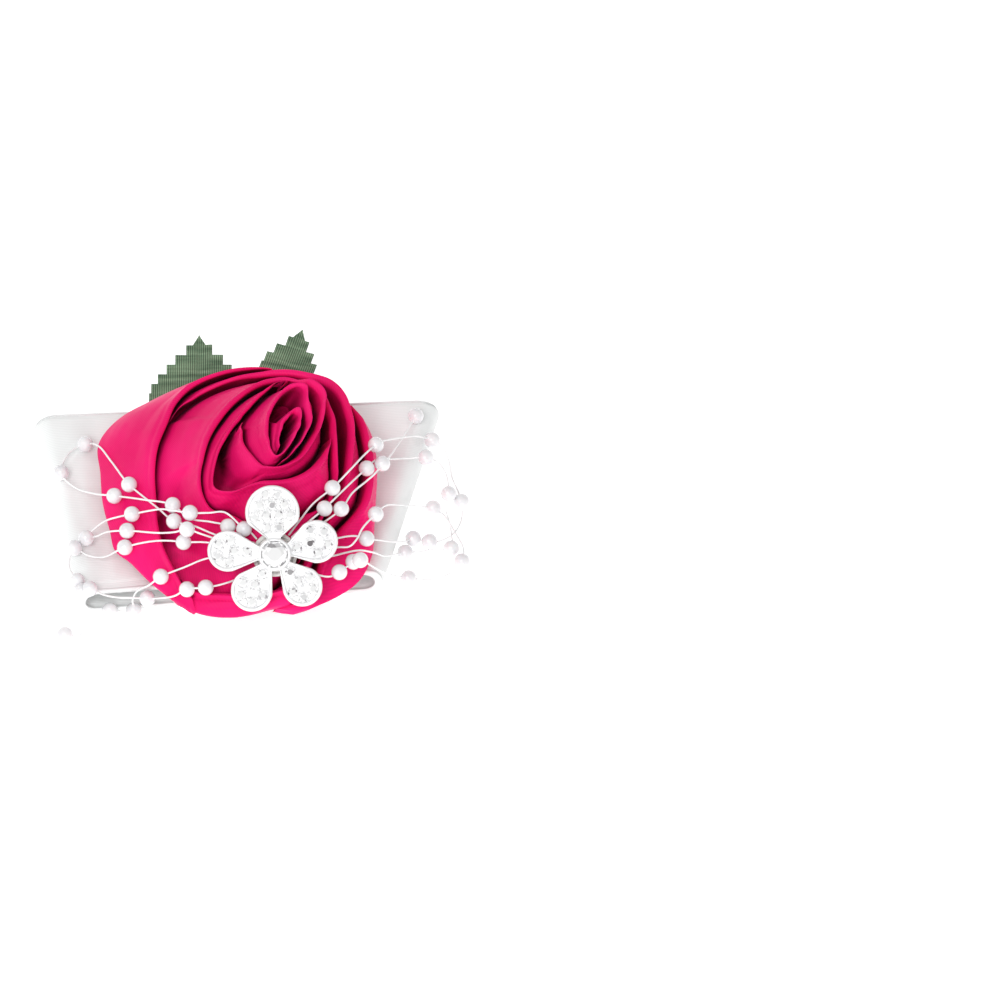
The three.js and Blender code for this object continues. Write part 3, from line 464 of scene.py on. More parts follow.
make_strand("right_middle", [
    (12.9, -5.2, 32.5), (16.6, -1.8, 32.2), (20.5, 1.5, 31.7, PEARL), (25.1, 6, 28.4), (27.8, 8.6, 23.6),
    (30.1, 10.7, 19.2, PEARL), (31.9, 12.4, 16.8), (35.4, 12.8, 9.5), (38.9, 13, 5.2),
    (43.7, 13.2, 2.6, PEARL), (46.5, 12, 1.2), (48.3, 9.4, 1.4), (48.9, 4.9, 2.5, PEARL), (48.2, 1.6, 1.2),
    (49, -1.6, 1.9), (49.5, -4.4, 5.2), (49.5, -7.6, 8, PEARL), (44.6, -8.1, 6.4), (41.9, -8.5, 7.4),
    (38.9, -8.6, 8.7, PEARL), (36.3, -9.1, 14.9), (34.3, -9.4, 18.8), (31.3, -8.5, 26.4), (28.5, -8.1, 28.4),
    (25.1, -8.7, 28.8), (22.3, -9.4, 29.8), (18.2, -9.9, 31.4), (14.6, -9.8, 32.5),
])
make_strand("right_front", [
    (14.6, -9, 33.3), (18.9, -8.3, 31.8), (23.5, -7.4, 30), (26.2, -7.2, 29.8), (27.9, -5.5, 29.7),
    (29.2, -3, 28.8), (32.2, 0.2, 24.8, PEARL), (34.3, 2.1, 19), (37.7, 2.3, 10), (41.9, 2, 4.6),
    (45.3, 1.6, 1.6, PEARL), (47.1, 0.5, 1.3), (48.5, -0.9, 3), (50.6, -4.4, 5), (52.2, -7.4, 6.4),
    (52, -10.6, 10.2, PEARL), (49.7, -13.1, 10), (45.1, -14.8, 11.2), (39.7, -14.5, 12.9, PEARL),
    (36.8, -14, 14.4), (34.5, -13.3, 18.4), (32.2, -12.2, 23.6), (28.7, -10.3, 33.2, PEARL),
    (27.1, -10.7, 29.4, PEARL), (23.9, -13.1, 31.5, PEARL), (21.6, -14.1, 30.6), (18.2, -13.5, 31),
    (15.4, -12.7, 31.8), (13.5, -12, 32.6),
])
make_strand("right_open", [
    (13.8, -6.2, 32.2), (17.2, -3.5, 30.8), (20.7, -1.4, 30), (24.3, 1.4, 30.3, PEARL), (26.9, 5.1, 26.6),
    (30.1, 7.8, 22.8), (32.2, 9.7, 20.6), (33.7, 11.8, 17.6, PEARL), (35.2, 13.3, 12), (37.5, 16.6, 4),
    (39.6, 20, -0.6), (41.3, 22.8, -3.1, PEARL),
])

# Rose: the rims and the hem as in the part's solids, in bearings and shares of radius and height
ROSE_RADIUS = 32
ROSE_HEIGHT = 23
ROSE_LEAN = 12.4
ROSE_FLOOR = 11.1
FOLD_RADIUS = 1.3
GROOVE_DEPTH = 3.2
PETAL_GAP = 0.55
WALL_DEPTH = 12  # of a petal's inner wall below its rim
WALL_LEAN = ((20, 25), (0.08, 0.18))  # rim radii, and the share by which the wall's foot leans inwards
PETAL_LEAST_WIDTH = 0.5
HEM_UNDERCUT = 4
FOLD_WIDTH_SHARE = 0.34
SATIN_THICKNESS = 0.1
RIMS = {  # bearing in degrees, then radius and height in thousandths of the rose's
    "rose_bud_roll": [
        (-822, 252, 970), (-806, 200, 980), (-784, 139, 980), (-726, 119, 980), (-687, 170, 980),
        (-668, 213, 990), (-656, 271, 1000), (-651, 335, 1000), (-648, 380, 1000), (-643, 398, 1000),
        (-638, 391, 1000), (-629, 350, 1000), (-613, 265, 1000), (-594, 195, 990), (-558, 131, 980),
        (-511, 137, 980), (-485, 190, 980), (-470, 217, 980), (-452, 130, 990), (-436, 76, 1000),
        (-381, 40, 1000), (-318, 84, 1000), (-305, 134, 1000), (-297, 162, 1000), (-288, 169, 1000),
        (-281, 150, 1000), (-268, 100, 1000), (-223, 45, 1000), (-155, 56, 990), (-128, 90, 980),
        (-115, 120, 980),
    ],
    "rose_petal_1": [
        (138, 335, 800), (150, 300, 840), (180, 270, 870), (215, 255, 890), (245, 285, 910), (264, 265, 910),
        (287, 215, 910), (330, 172, 910), (359, 192, 910), (378, 241, 910), (392, 295, 920), (402, 354, 930),
        (410, 416, 930), (416, 448, 930), (423, 468, 930), (435, 490, 920), (445, 480, 900), (452, 460, 890),
        (461, 425, 880), (473, 375, 860), (487, 340, 840),
    ],
    "rose_petal_2": [
        (84, 525, 830), (96, 463, 850), (109, 404, 840), (123, 359, 830), (137, 337, 810), (146, 327, 805),
        (161, 341, 800), (176, 366, 790), (189, 408, 780), (200, 452, 775), (209, 502, 770), (217, 561, 765),
        (220, 578, 765), (224, 576, 765), (229, 546, 775), (234, 505, 785), (239, 442, 795), (244, 390, 805),
        (254, 348, 820), (281, 330, 830), (325, 325, 830), (345, 340, 830), (360, 355, 830), (375, 380, 820),
    ],
    "rose_petal_3": [
        (70, 570, 710), (83, 570, 730), (93, 550, 730), (103, 522, 735), (111, 498, 740), (122, 470, 740),
        (137, 447, 740), (149, 439, 740), (161, 444, 740), (174, 462, 745), (185, 487, 750), (195, 520, 750),
        (203, 560, 745), (211, 602, 740), (217, 615, 700), (224, 632, 670), (230, 634, 640), (235, 612, 610),
        (243, 570, 580), (250, 560, 560), (259, 589, 560), (282, 600, 560), (303, 585, 600), (315, 560, 620),
    ],
    "rose_petal_4": [
        (-62, 760, 450), (-51, 645, 560), (-42, 590, 620), (-35, 550, 650), (-27, 498, 680), (-21, 451, 720),
        (-7, 402, 760), (12, 397, 770), (29, 434, 770), (40, 460, 770), (48, 500, 760),
    ],
    "rose_petal_5": [
        (-78, 1020, 200), (-66, 880, 280), (-54, 770, 350), (-41, 675, 420), (-35, 646, 450),
        (-29, 619, 480), (-21, 606, 500), (-13, 587, 540), (-6, 580, 560), (4, 580, 590), (15, 600, 610),
        (26, 631, 625), (33, 648, 640), (41, 678, 650), (47, 700, 650), (52, 711, 650), (57, 712, 650),
        (63, 700, 650), (69, 694, 640), (75, 690, 635), (88, 680, 615), (95, 677, 600), (106, 686, 585),
        (118, 698, 550), (129, 714, 500), (143, 720, 480), (154, 735, 430),
    ],
    "rose_petal_6": [
        (-122, 920, 130), (-110, 1030, 170), (-99, 1030, 220), (-85, 1030, 240), (-72, 1020, 260),
        (-57, 980, 260), (-44, 935, 280), (-34, 920, 280), (-27, 920, 270),
    ],
    "rose_petal_7": [
        (84, 820, 440), (97, 790, 500), (111, 790, 520), (128, 800, 520), (141, 780, 520), (156, 740, 520),
        (171, 740, 500), (188, 745, 460), (202, 765, 410), (214, 825, 370), (226, 890, 300), (238, 965, 230),
        (250, 1080, 140),
    ],
    "rose_petal_8": [
        (-74, 1160, 120), (-68, 1120, 140), (-60, 1000, 180), (-50, 860, 230), (-38, 810, 270),
        (-30, 819, 300), (-25, 828, 330), (-19, 832, 350), (-13, 820, 370), (-7, 809, 380), (0, 800, 390),
        (16, 800, 390), (30, 830, 390), (40, 870, 360),
    ],
}
HEM = [
    (0, 970, 100), (10, 970, 130), (23, 970, 170), (35, 895, 300), (50, 860, 260), (70, 840, 220),
    (90, 840, 240), (108, 860, 300), (124, 890, 300), (138, 955, 220), (148, 1035, 140), (161, 1075, 90),
    (174, 1000, 70), (189, 990, 70), (204, 1010, 70), (214, 1065, 70), (221, 1030, 70), (238, 1075, 70),
    (249, 1125, 70), (259, 1170, 70), (274, 1155, 70), (285, 1130, 70), (291, 1200, 70), (300, 1210, 70),
    (314, 1220, 70), (327, 1140, 70), (337, 1050, 70), (350, 980, 90), (360, 970, 100),
]


def on_rim(rows, bearing):
    """Radius and height at a bearing, on a smooth line through the rows."""
    last = len(rows) - 1
    i = sum(bearing > row[0] for row in rows[1:last])

    def slope(k, column):
        before, after = rows[max(k - 1, 0)], rows[min(k + 1, last)]
        return (after[column] - before[column]) / (after[0] - before[0])

    start, end = rows[i], rows[i + 1]
    span = end[0] - start[0]
    t = (bearing - start[0]) / span

    def value(column):
        return cubic(start[column], slope(i, column) * span, end[column], slope(i + 1, column) * span, t)

    return ROSE_RADIUS * value(1) / 1000, ROSE_HEIGHT * value(2) / 1000


RIM_NAMES = list(RIMS)
kept_turns = {name: (rows[0][0], rows[-1][0]) for name, rows in RIMS.items()}


def outer_edge(name, bearing, radius):
    """Where a petal's slope ends: under its own next turn or an outer petal's rim, or at the hem."""
    reach, height = on_rim(HEM, bearing % FULL_TURN)
    hem = True
    for other in RIM_NAMES[RIM_NAMES.index(name):]:
        rows = RIMS[other]
        for turn in range(-3, 4):
            there = bearing + turn * FULL_TURN
            own = other == name
            if there < kept_turns[other][0] or there > kept_turns[other][1] or (own and turn == 0):
                continue
            rim_radius, rim_height = on_rim(rows, there)
            if (own and rim_radius < radius) or rim_radius > reach:
                continue
            reach, height, hem = rim_radius - PETAL_GAP, rim_height - GROOVE_DEPTH, False
    return reach, height, hem


BEARING_STEP = 2.5
FINE_STEP = 1.25
EASE_WIDTH = 1.8  # an end narrower than this sinks onto the rim outside it
EASE_TURN = 16  # degrees
EASE_RISE = 1.0  # how far above that rim it stays
TUCK_PER_WIDTH = 3  # degrees by which a petal's end runs on for each millimetre of its width
TUCK_PER_DROP = 2  # the same for each millimetre of its drop to the hem
TUCK_RANGE = (2, 10)
TUCK_STEPS = 8
TUCK_DROP = 0.6  # of the petal's drop, by which its rim sinks there
TUCK_WIDTH = 0.25


def kept_stations(name):
    """Rows of bearing, rim radius and height, width, edge height and hem, where the petal is wide enough."""
    rows = RIMS[name]
    kept = []
    for step in range(math.ceil(rows[0][0] / BEARING_STEP), math.floor(rows[-1][0] / BEARING_STEP) + 1):
        bearing = step * BEARING_STEP
        radius, height = on_rim(rows, bearing)
        reach, low, hem = outer_edge(name, bearing, radius)
        if reach - radius > PETAL_LEAST_WIDTH:
            kept.append((bearing, radius, height, reach - radius, low, float(hem)))
    kept_turns[name] = (kept[0][0], kept[-1][0])
    return np.array(kept)


def petal_stations(name):
    """The same rows, finely spaced and eased, with the tucks at both ends."""
    coarse = kept_stations(name)
    count = int(round((coarse[-1, 0] - coarse[0, 0]) / FINE_STEP)) + 1
    bearings = np.linspace(coarse[0, 0], coarse[-1, 0], count)
    rim = np.array([on_rim(RIMS[name], b) for b in bearings])
    width, low, hem = (smooth_through(bearings, coarse[:, 0], coarse[:, k]) for k in (3, 4, 5))
    rows = np.stack([bearings, rim[:, 0], rim[:, 1], width, low, hem], axis=1)
    for end in (0, -1):
        ease(rows, rows[end].copy())
    return np.concatenate([tuck(name, rows[0], -1)[::-1], rows, tuck(name, rows[-1], 1)])


def ease(rows, end):
    """Towards a narrow end the rim sinks and moves out onto the rim outside it."""
    bearing, _, _, end_width, _, end_hem = end
    if end_width > EASE_WIDTH or end_hem > 0.5:
        return
    bearings, radius, height, width, low, _ = rows.T  # views, so the rows change with them
    share = np.clip(1 - abs(bearings - bearing) / EASE_TURN, 0, 1)
    swing = eased(share)
    out = swing * np.clip(width - TUCK_WIDTH, 0, None)
    radius += out
    width -= out
    height -= swing * np.clip(height - low - GROOVE_DEPTH - EASE_RISE, 0, None)


def tuck(name, end, side):
    """Stations that carry a petal on beyond its end, where its rim sinks outwards against its neighbour."""
    bearing, radius, height, width, low, hem = end
    turn = side * np.clip(max(TUCK_PER_WIDTH * width, TUCK_PER_DROP * hem * (height - low)), *TUCK_RANGE)
    far = bearing + turn
    reach = outer_edge(name, far, radius)[0]
    rows = []
    for t in np.linspace(0, 1, TUCK_STEPS + 1)[1:]:
        swing = eased(t)
        edge = radius + width + (reach - radius - width) * t
        out = radius + (reach - TUCK_WIDTH - radius) * swing
        rows.append((bearing + turn * t, out, height - (height - low) * max(TUCK_DROP, hem) * swing,
                     max(edge - out, TUCK_WIDTH), low, hem))
    return np.array(rows)


def smooth_through(x, known_x, known_y):
    """Straight lines between known values, then rounded where they meet."""
    y = np.interp(x, known_x, known_y)
    reach = 3
    kernel = np.hanning(2 * reach + 3)[1:-1]
    kernel /= kernel.sum()
    padded = np.pad(y, reach, mode="edge")
    return np.convolve(padded, kernel, mode="valid")


# How a petal looks in section: rows along the inner wall, over the fold, down the slope and under the hem
WALL_ROWS = 7
FOLD_ROWS = 9
SLOPE_ROWS = 34
SLOPE_SPACING = 1.15  # more than 1 sets the rows closer near the fold
HEM_ROWS = 7
HEM_BULGE = 0.15
FLOOR_STEP = 0.3  # by which each row of a groove's floor lies below the one before

HOLLOW_DEPTH = 3.8
HOLLOWS = {  # bearing, and how hollow the slope is behind the fold: 1 most, less than 0 raises its foot
    "rose_bud_roll": [(-370, 0.2), (-330, 1), (-262, 1), (-235, 0.2)],
    "rose_petal_1": [(150, 0), (172, 1), (232, 1), (250, 0.2), (390, 0.2), (402, 1), (452, 1), (475, 0)],
    "rose_petal_2": [(300, 0), (325, -0.4)],
    "rose_petal_3": [(192, 0), (208, 1), (248, 1), (262, 0)],
    "rose_petal_4": [(-45, 0), (-25, 1)],
    "rose_petal_6": [(-90, 0), (-78, -0.4)],
}


def hollow_at(name, bearing):
    return np.interp(bearing, *zip(*HOLLOWS.get(name, [(0, 0)])))


def fall(t, fold_share, hollow):
    """Share of the drop at a share t of the width: level at the fold and steep at the edge, or hollow.
    A curve through four knots: where they lie across, how far down, and their slopes."""
    hollow = max(hollow, 0)
    across = np.array([fold_share, 0.42, 0.74, 1.0])
    down = np.array([0.0, 0.28 + 0.57 * hollow, 0.58 + 0.38 * hollow, 1.0])
    slopes = np.array([0.12 + 1.6 * hollow, 0.85 - 0.1 * hollow, 1.15 - 0.95 * hollow, 1.6 - 1.5 * hollow])
    t = np.clip(t, fold_share, 1)
    k = np.clip(np.searchsorted(across, t, side="right") - 1, 0, 2)
    span = across[k + 1] - across[k]
    return cubic(down[k], slopes[k] * span, down[k + 1], slopes[k + 1] * span, (t - across[k]) / span)


def petal_section(radius, height, width, low, hem, hollow):
    """Points (radius, height, share down the slope) of a petal's section, from the wall to the edge."""
    fold = min(FOLD_RADIUS, width * FOLD_WIDTH_SHARE)
    low = max(min(low - HOLLOW_DEPTH * hollow, height - fold), fold / 2)
    wall_foot = max(0.0, height - fold - WALL_DEPTH)
    wall_top = height - fold
    section = []
    for i in range(WALL_ROWS):
        level = wall_foot + (wall_top - wall_foot) * i / WALL_ROWS
        lean = np.interp(radius, *WALL_LEAN) * np.clip((wall_top - level) / GROOVE_DEPTH - 1, 0, 1)
        section.append((radius * (1 - lean), level, 0.0))
    for i in range(FOLD_ROWS):
        turn = math.pi / 2 * i / FOLD_ROWS
        section.append((radius + fold * (1 - math.cos(turn)), height - fold * (1 - math.sin(turn)), 0.0))
    fold_share = fold / width
    shares = fold_share + (1 - fold_share) * np.linspace(0, 1, SLOPE_ROWS) ** SLOPE_SPACING
    for share, down in zip(shares, fall(shares, fold_share, hollow)):
        section.append((radius + width * share, height - (height - low) * down,
                        (share - fold_share) / (1 - fold_share)))
    undercut = min(HEM_UNDERCUT, width / 2) * hem
    edge = radius + width
    for i in range(1, HEM_ROWS + 1):
        turn = math.pi / 2 * i / HEM_ROWS
        section.append((edge + HEM_BULGE * hem * math.sin(2 * turn) - undercut * (1 - math.cos(turn))
                        + (1 - hem) * PETAL_GAP * math.sin(turn),
                        low * (1 - hem * math.sin(turn)) - (1 - hem) * FLOOR_STEP * i, 1.0))
    return section


def on_rose(bearing, radius, height):
    angle = bearing * DEGREE
    lean = ROSE_LEAN * height / ROSE_HEIGHT
    return (radius * math.cos(angle) + lean, radius * math.sin(angle), ROSE_FLOOR + height)


# Creases of a petal's slope: depth, length along the petal, width across it, and slant of the crease lines
BROAD_CREASES = (0.3, 26.0, 7.0, 0.55)
FINE_CREASES = (0.08, 12.0, 2.6, 0.9)
CREASE_FADE = (0.25, 0.2)  # shares of the slope, at its top and its foot, over which they fade out
ROLL_WIDTH = 2.0  # the rolled rim, up to the line that sets it off from the slope
ROLL_LINE = (0.25, 0.45)  # depth and half width of that line
ROLL_WANDER = 9  # millimetres over which its strength changes


def creased(points, shares, seed):
    along, across = along_and_across(points)
    normals = surface_normals(points)
    fade = np.clip(shares / CREASE_FADE[0], 0, 1) * np.clip((1 - shares) / CREASE_FADE[1], 0, 1)
    shift = np.zeros(points.shape[:2])
    for depth, length, width, slant in (BROAD_CREASES, FINE_CREASES):
        shift += fade * depth * cloud((along + slant * across) / length, across / width, across * 0 + seed)
    from_fold = across - across[:, WALL_ROWS + FOLD_ROWS - 4][:, None]
    line = np.exp(-(((from_fold - ROLL_WIDTH) / ROLL_LINE[1]) ** 2))
    strength = 0.6 + 0.4 * cloud(along / ROLL_WANDER, across * 0 + seed, across * 0)
    shift -= ROLL_LINE[0] * line * strength * (shares > 0)
    return points + normals * shift[..., None]


def petal_points(name, seed):
    stations = petal_stations(name)
    sections = np.array([petal_section(*row[1:], hollow_at(name, row[0])) for row in stations])
    points = np.array([[on_rose(bearing, r, h) for r, h, _ in section]
                       for bearing, section in zip(stations[:, 0], sections)])
    return creased(points, sections[..., 2], seed)


# How much sky a point of the satin sees, which sets its painted shade: rays to this many directions, as far
# as this, in millimetres
SKY_RAYS = 40
SKY_REACH = 16
SKY_START = 0.15  # off the surface
SKY_STEPS = (5, 2)  # every so many rows and columns get their rays, and the others lie between them


def sky_directions():
    """Directions spread evenly over a ball."""
    golden = math.pi * (3 - math.sqrt(5))
    heights = 1 - 2 * (np.arange(SKY_RAYS) + 0.5) / SKY_RAYS
    around = np.sqrt(1 - heights**2)
    turns = golden * np.arange(SKY_RAYS)
    return [Vector(d) for d in zip(around * np.cos(turns), around * np.sin(turns), heights)]


def openness(points, tree):
    """Share of the sky that each point of a grid sees, from 0 to 1."""
    normals = surface_normals(points)
    picks = [np.unique(np.append(np.arange(0, size, step), size - 1))
             for size, step in zip(points.shape[:2], SKY_STEPS)]
    seen = np.zeros((len(picks[0]), len(picks[1])))
    directions = sky_directions()
    for i, row in enumerate(picks[0]):
        for j, column in enumerate(picks[1]):
            normal = Vector(normals[row, column])
            start = Vector(points[row, column]) + normal * SKY_START
            whole = 0.0
            for direction in directions:
                share = normal.dot(direction)
                if share > 0:
                    whole += share
                    if tree.ray_cast(start, direction, SKY_REACH)[0] is None:
                        seen[i, j] += share
            seen[i, j] /= whole
    for size, picked in zip(points.shape[1::-1], picks[::-1]):
        seen = np.array([np.interp(np.arange(size), picked, line) for line in seen]).T
    return seen


END_LIGHT = 0.3
END_ROWS = 14  # from a petal's end, over which its least openness fades to nothing


def end_light(rows, columns):
    """Least openness of a petal's ends, which are tucked into their neighbours' folds, so that their painted
    shade stays light.
    """
    from_end = np.minimum(np.arange(rows), np.arange(rows)[::-1])
    fade = np.clip((END_ROWS - from_end) / (END_ROWS - TUCK_STEPS), 0, 1)
    return END_LIGHT * np.outer(fade, np.arange(columns) >= WALL_ROWS)


def make_petal(name, points, tree):
    along, across = along_and_across(points)
    uv = np.stack([along, across], axis=-1).reshape(-1, 2)
    rows, columns = points.shape[:2]
    piece = new_piece(name + "_satin", points.reshape(-1, 3), grid_faces(rows, columns), fuchsia,
                      "fuchsia_satin", (name,), uv)
    # openness of each point, which sets the painted shade in the satin's colour
    shade = piece.data.attributes.new("openness", "FLOAT", "POINT")
    seen = np.maximum(openness(points, tree), end_light(rows, columns))
    shade.data.foreach_set("value", seen.astype(np.float32).ravel())
    thicken(piece, SATIN_THICKNESS)


def make_rose():
    for name in reversed(RIM_NAMES):
        kept_stations(name)
    grids = [petal_points(name, 3.7 * (seed + 1)) for seed, name in enumerate(RIM_NAMES)]
    tree = BVHTree.FromPolygons(*joined([(grid.reshape(-1, 3).tolist(), grid_faces(*grid.shape[:2]))
                                         for grid in grids]))
    for name, grid in zip(RIM_NAMES, grids):
        make_petal(name, grid, tree)


make_rose()

# Wristband: a satin sleeve over elastic, lying as a flattened loop
BAND_FAR_WIDTH = 94.6
BAND_NEAR_WIDTH = 70.2
BAND_FAR_SHIFT = 1.2
BAND_LENGTH = 49.4
BAND_FAR_SKEW = 2.3
BAND_NEAR_SKEW = 3.1
BAND_HEIGHT = 8.4
BAND_WALL = 1.4
BAND_CORNER = 2.6
BAND_FLAT_POINTS = 90  # on each flat of the loop
BAND_FOLD_POINTS = 14
HEM_LINE = 2.2  # from the front rim to its stitched line
HEM_LINE_WIDTH, HEM_LINE_DEPTH = 0.35, 0.3
BAND_ROWS = 72
BAND_WAVES = (  # height, length across the loop, slant, length along it, turns with the side, start
    (0.42, 9.0, 60.0, 46.0, 2.0, 0.0), (0.1, 3.4, -90.0, 22.0, 3.0, 7.0),
)
WAVE_FADE = 0.03  # share of the length, at both rims, over which the waves fade out


def band_folds(share):
    half = (BAND_NEAR_WIDTH + (BAND_FAR_WIDTH - BAND_NEAR_WIDTH) * share) / 2
    middle = -BAND_FAR_SHIFT * (1 - share)
    y = BAND_LENGTH * (share - 0.5)
    skew = BAND_NEAR_SKEW + (BAND_FAR_SKEW - BAND_NEAR_SKEW) * share
    return (np.array([middle - half, y - skew]), np.array([middle + half, y + skew]))


def band_ring(share, drawn_in, inset):
    """Points round the loop at a share of its length: right fold, top, left fold, underside."""
    left, right = band_folds(share)
    along = (right - left) / np.linalg.norm(right - left)
    radius = BAND_HEIGHT / 2 - inset
    ends = [right - along * (BAND_HEIGHT / 2 + drawn_in), left + along * (BAND_HEIGHT / 2 + drawn_in)]
    loop = []
    for side, (middle, other) in ((1, ends), (-1, ends[::-1])):
        for i in range(BAND_FOLD_POINTS):
            angle = math.pi * (i / BAND_FOLD_POINTS - 0.5)
            out = middle + along * side * radius * math.cos(angle)
            loop.append((out[0], out[1], BAND_HEIGHT / 2 + side * radius * math.sin(angle)))
        for i in range(BAND_FLAT_POINTS):
            out = middle + (other - middle) * i / BAND_FLAT_POINTS
            loop.append((out[0], out[1], BAND_HEIGHT / 2 + side * radius))
    return loop


def band_drawn_in(share):
    """How far the folds are drawn in where the rims' corners are rounded."""
    corner = BAND_CORNER / BAND_LENGTH
    near = BAND_CORNER / 2 * (1 - math.sqrt(1 - max(0, 1 - share / corner) ** 2))
    far = BAND_CORNER * (1 - math.sqrt(1 - max(0, 1 - (1 - share) / corner) ** 2))
    return near + far


def make_wristband():
    rim = BAND_WALL / 2 / BAND_LENGTH
    rounding = [(rim * (1 - math.sin(a)), BAND_WALL / 2 * (1 - math.cos(a)))
                for a in np.linspace(0, math.pi / 2, 6)]
    outer = rounding + [(s, 0.0) for s in np.linspace(rim, 1 - rim, BAND_ROWS)[1:-1]]
    outer += [(1 - s, inset) for s, inset in reversed(rounding)]
    inner = [(s, BAND_WALL - inset) for s, inset in reversed(outer[1:-1])]
    rows = outer + inner
    points = np.array([band_ring(share, band_drawn_in(share), inset) for share, inset in rows])
    sides = np.array([1.0 if inset < BAND_WALL / 2 else 0.0 for _, inset in rows])[:, None]
    x, y, z = points[..., 0], points[..., 1], points[..., 2]
    shares = np.array([share for share, _ in rows])[:, None] * np.ones_like(x)
    top = np.clip((z - BAND_HEIGHT / 2) / (BAND_HEIGHT / 2), 0, 1)
    waves = sum(height * cloud(x / across + y / slant, y / along, top * side + start)
                for height, across, slant, along, side, start in BAND_WAVES)
    points[..., 2] += waves * top * np.clip(np.minimum(shares, 1 - shares) / WAVE_FADE, 0, 1)
    line = np.exp(-(((shares * BAND_LENGTH - HEM_LINE) / HEM_LINE_WIDTH) ** 2))
    points[..., 2] -= HEM_LINE_DEPTH * line * top * sides
    faces = grid_faces(*points.shape[:2], closed=True, looped=True)
    uv = np.stack([lengths_along(points, 1), shares * BAND_LENGTH], axis=-1).reshape(-1, 2)
    piece = new_piece("wristband_satin", points.reshape(-1, 3), faces, ivory, "ivory_satin", ("wristband",),
                      uv)


make_wristband()

# Felt backing under the rose
FELT_DIAMETER = 36
FELT_THICKNESS = 1.2
FELT_FORWARD = 3.2
FELT_FLOOR = 8.7


def make_felt():
    r, t = FELT_DIAMETER / 2, FELT_THICKNESS
    profile = [(0, 0), (r - 0.4, 0), (r - 0.1, 0.15), (r, t / 2), (r - 0.1, t - 0.15), (r - 0.4, t), (0, t)]
    points, faces = turned(profile, 96, Vector((0, -FELT_FORWARD, FELT_FLOOR)), 0.012)
    piece = new_piece("felt_disc", points, faces, felt, "felt", ("felt_backing",))


make_felt()

# Leaves: pinked cloth, cut in steps, with a folded midrib and a little lift at the tip
LEAF_STALK_WIDTH = 3
LEAF_TAPER = 1.25  # power of a sine by which the outline narrows
PINKING_STEP = 2.6
LEAF_CELL = 0.5
LEAF_FLOOR = 10.2
LEAF_THICKNESS = 0.35
LEAF_WAVE = (0.35, 7, 9)  # height, and lengths across and along the leaf
MIDRIB_DEPTH, MIDRIB_WIDTH = 0.3, 1.2
TIP_LIFT, TIP_LENGTH = 1.6, 16  # how much the tip rises, and over what length
LEAVES = {  # name: length, width, tip across and back in millimetres, turn in degrees
    "leaf_left": (36, 23.6, -8.6, 1.32 * ROSE_RADIUS, 0),
    "leaf_right": (26, 13.6, 15.2, 1.37 * ROSE_RADIUS, -18),
}


def make_leaf(name, length, width, tip_across, tip_back, turn):
    stairs = round(length / PINKING_STEP)
    per_stair = round(PINKING_STEP / LEAF_CELL)
    row_step = length / (stairs * per_stair)
    corners, faces = {}, []

    def corner(i, j):
        return corners.setdefault((i, j), len(corners))

    for stair in range(stairs):
        share = math.sin(math.pi * (stair + 0.5) / stairs) ** LEAF_TAPER
        half = max(LEAF_STALK_WIDTH, width * share) / 2
        cells = max(2, round(half / LEAF_CELL))
        for i in range(stair * per_stair, (stair + 1) * per_stair):
            for j in range(-cells, cells):
                faces.append((corner(i, j), corner(i + 1, j), corner(i + 1, j + 1), corner(i, j + 1)))
    spin = Matrix.Rotation(turn * DEGREE, 2)
    points, uv = [], []
    for i, j in corners:
        point_share = min(1.0, max(i, 0.2) / per_stair)  # the first stair narrows to the tip
        x, y = j * LEAF_CELL * point_share, -i * row_step
        wave = LEAF_WAVE[0] * noise.noise(Vector((x / LEAF_WAVE[1], y / LEAF_WAVE[2], turn)))
        rib = MIDRIB_DEPTH - MIDRIB_DEPTH * math.exp(-abs(x) / MIDRIB_WIDTH)
        lift = rib + TIP_LIFT * max(0.0, 1 + y / TIP_LENGTH) ** 2 + wave
        flat = spin @ Vector((x, y))
        points.append((flat.x + tip_across, flat.y + tip_back, LEAF_FLOOR + lift))
        uv.append((x, y))
    piece = new_piece(name + "_cloth", points, faces, leaf_cloth, "leaf_cloth", (name,), uv)
    thicken(piece, LEAF_THICKNESS, 0.0)


for name, size_and_place in LEAVES.items():
    make_leaf(name, *size_and_place)

# Brooch: a cast flower of five petals, each with a rounded rim round a sunk floor set with stones
BROOCH_SEAT = Vector((ROSE_RADIUS * 0.284, -ROSE_RADIUS * 0.84, ROSE_FLOOR + ROSE_HEIGHT * 0.504))
BROOCH_REACH = 16
SETTING_HEIGHT = 3
SETTING_FLOOR = 2.4
SETTING_RIM = [  # inset and height over a petal's cast rim, from its back to the floor of its recess
    (0.5, 0.0), (0.15, 0.12), (0.0, 0.5), (0.0, 2.55), (0.06, 2.78), (0.18, 2.93), (0.34, SETTING_HEIGHT),
    (0.57, SETTING_HEIGHT), (0.75, 2.92), (0.89, 2.76), (0.95, SETTING_FLOOR),
]
BOSS_DIAMETER = 7.6
BOSS_HEIGHT = 3.6
NECK_WIDTH = 3.4
TEARDROP_HALF_TURN = 112
SETTING_PETALS = (  # bearing, then reach and radius as shares of the brooch's reach
    (93, 0.6, 0.39), (176, 0.669, 0.294), (238, 0.612, 0.3), (311, 0.606, 0.288), (377, 0.625, 0.309),
)
COLLAR_GAP, COLLAR_THICKNESS, COLLAR_RISE = 0.14, 0.16, 0.04  # the low ring round each small stone
PRONG_GAP, PRONG_RADIUS = 0.12, 0.3
CENTRE_PRONGS, CENTRE_PRONG_REACH, CENTRE_PRONG_RADIUS = 8, 2.95, 0.34
BROOCH_FRAME = Matrix.Translation(BROOCH_SEAT) @ Matrix.Rotation(SLOPE, 4, "X")


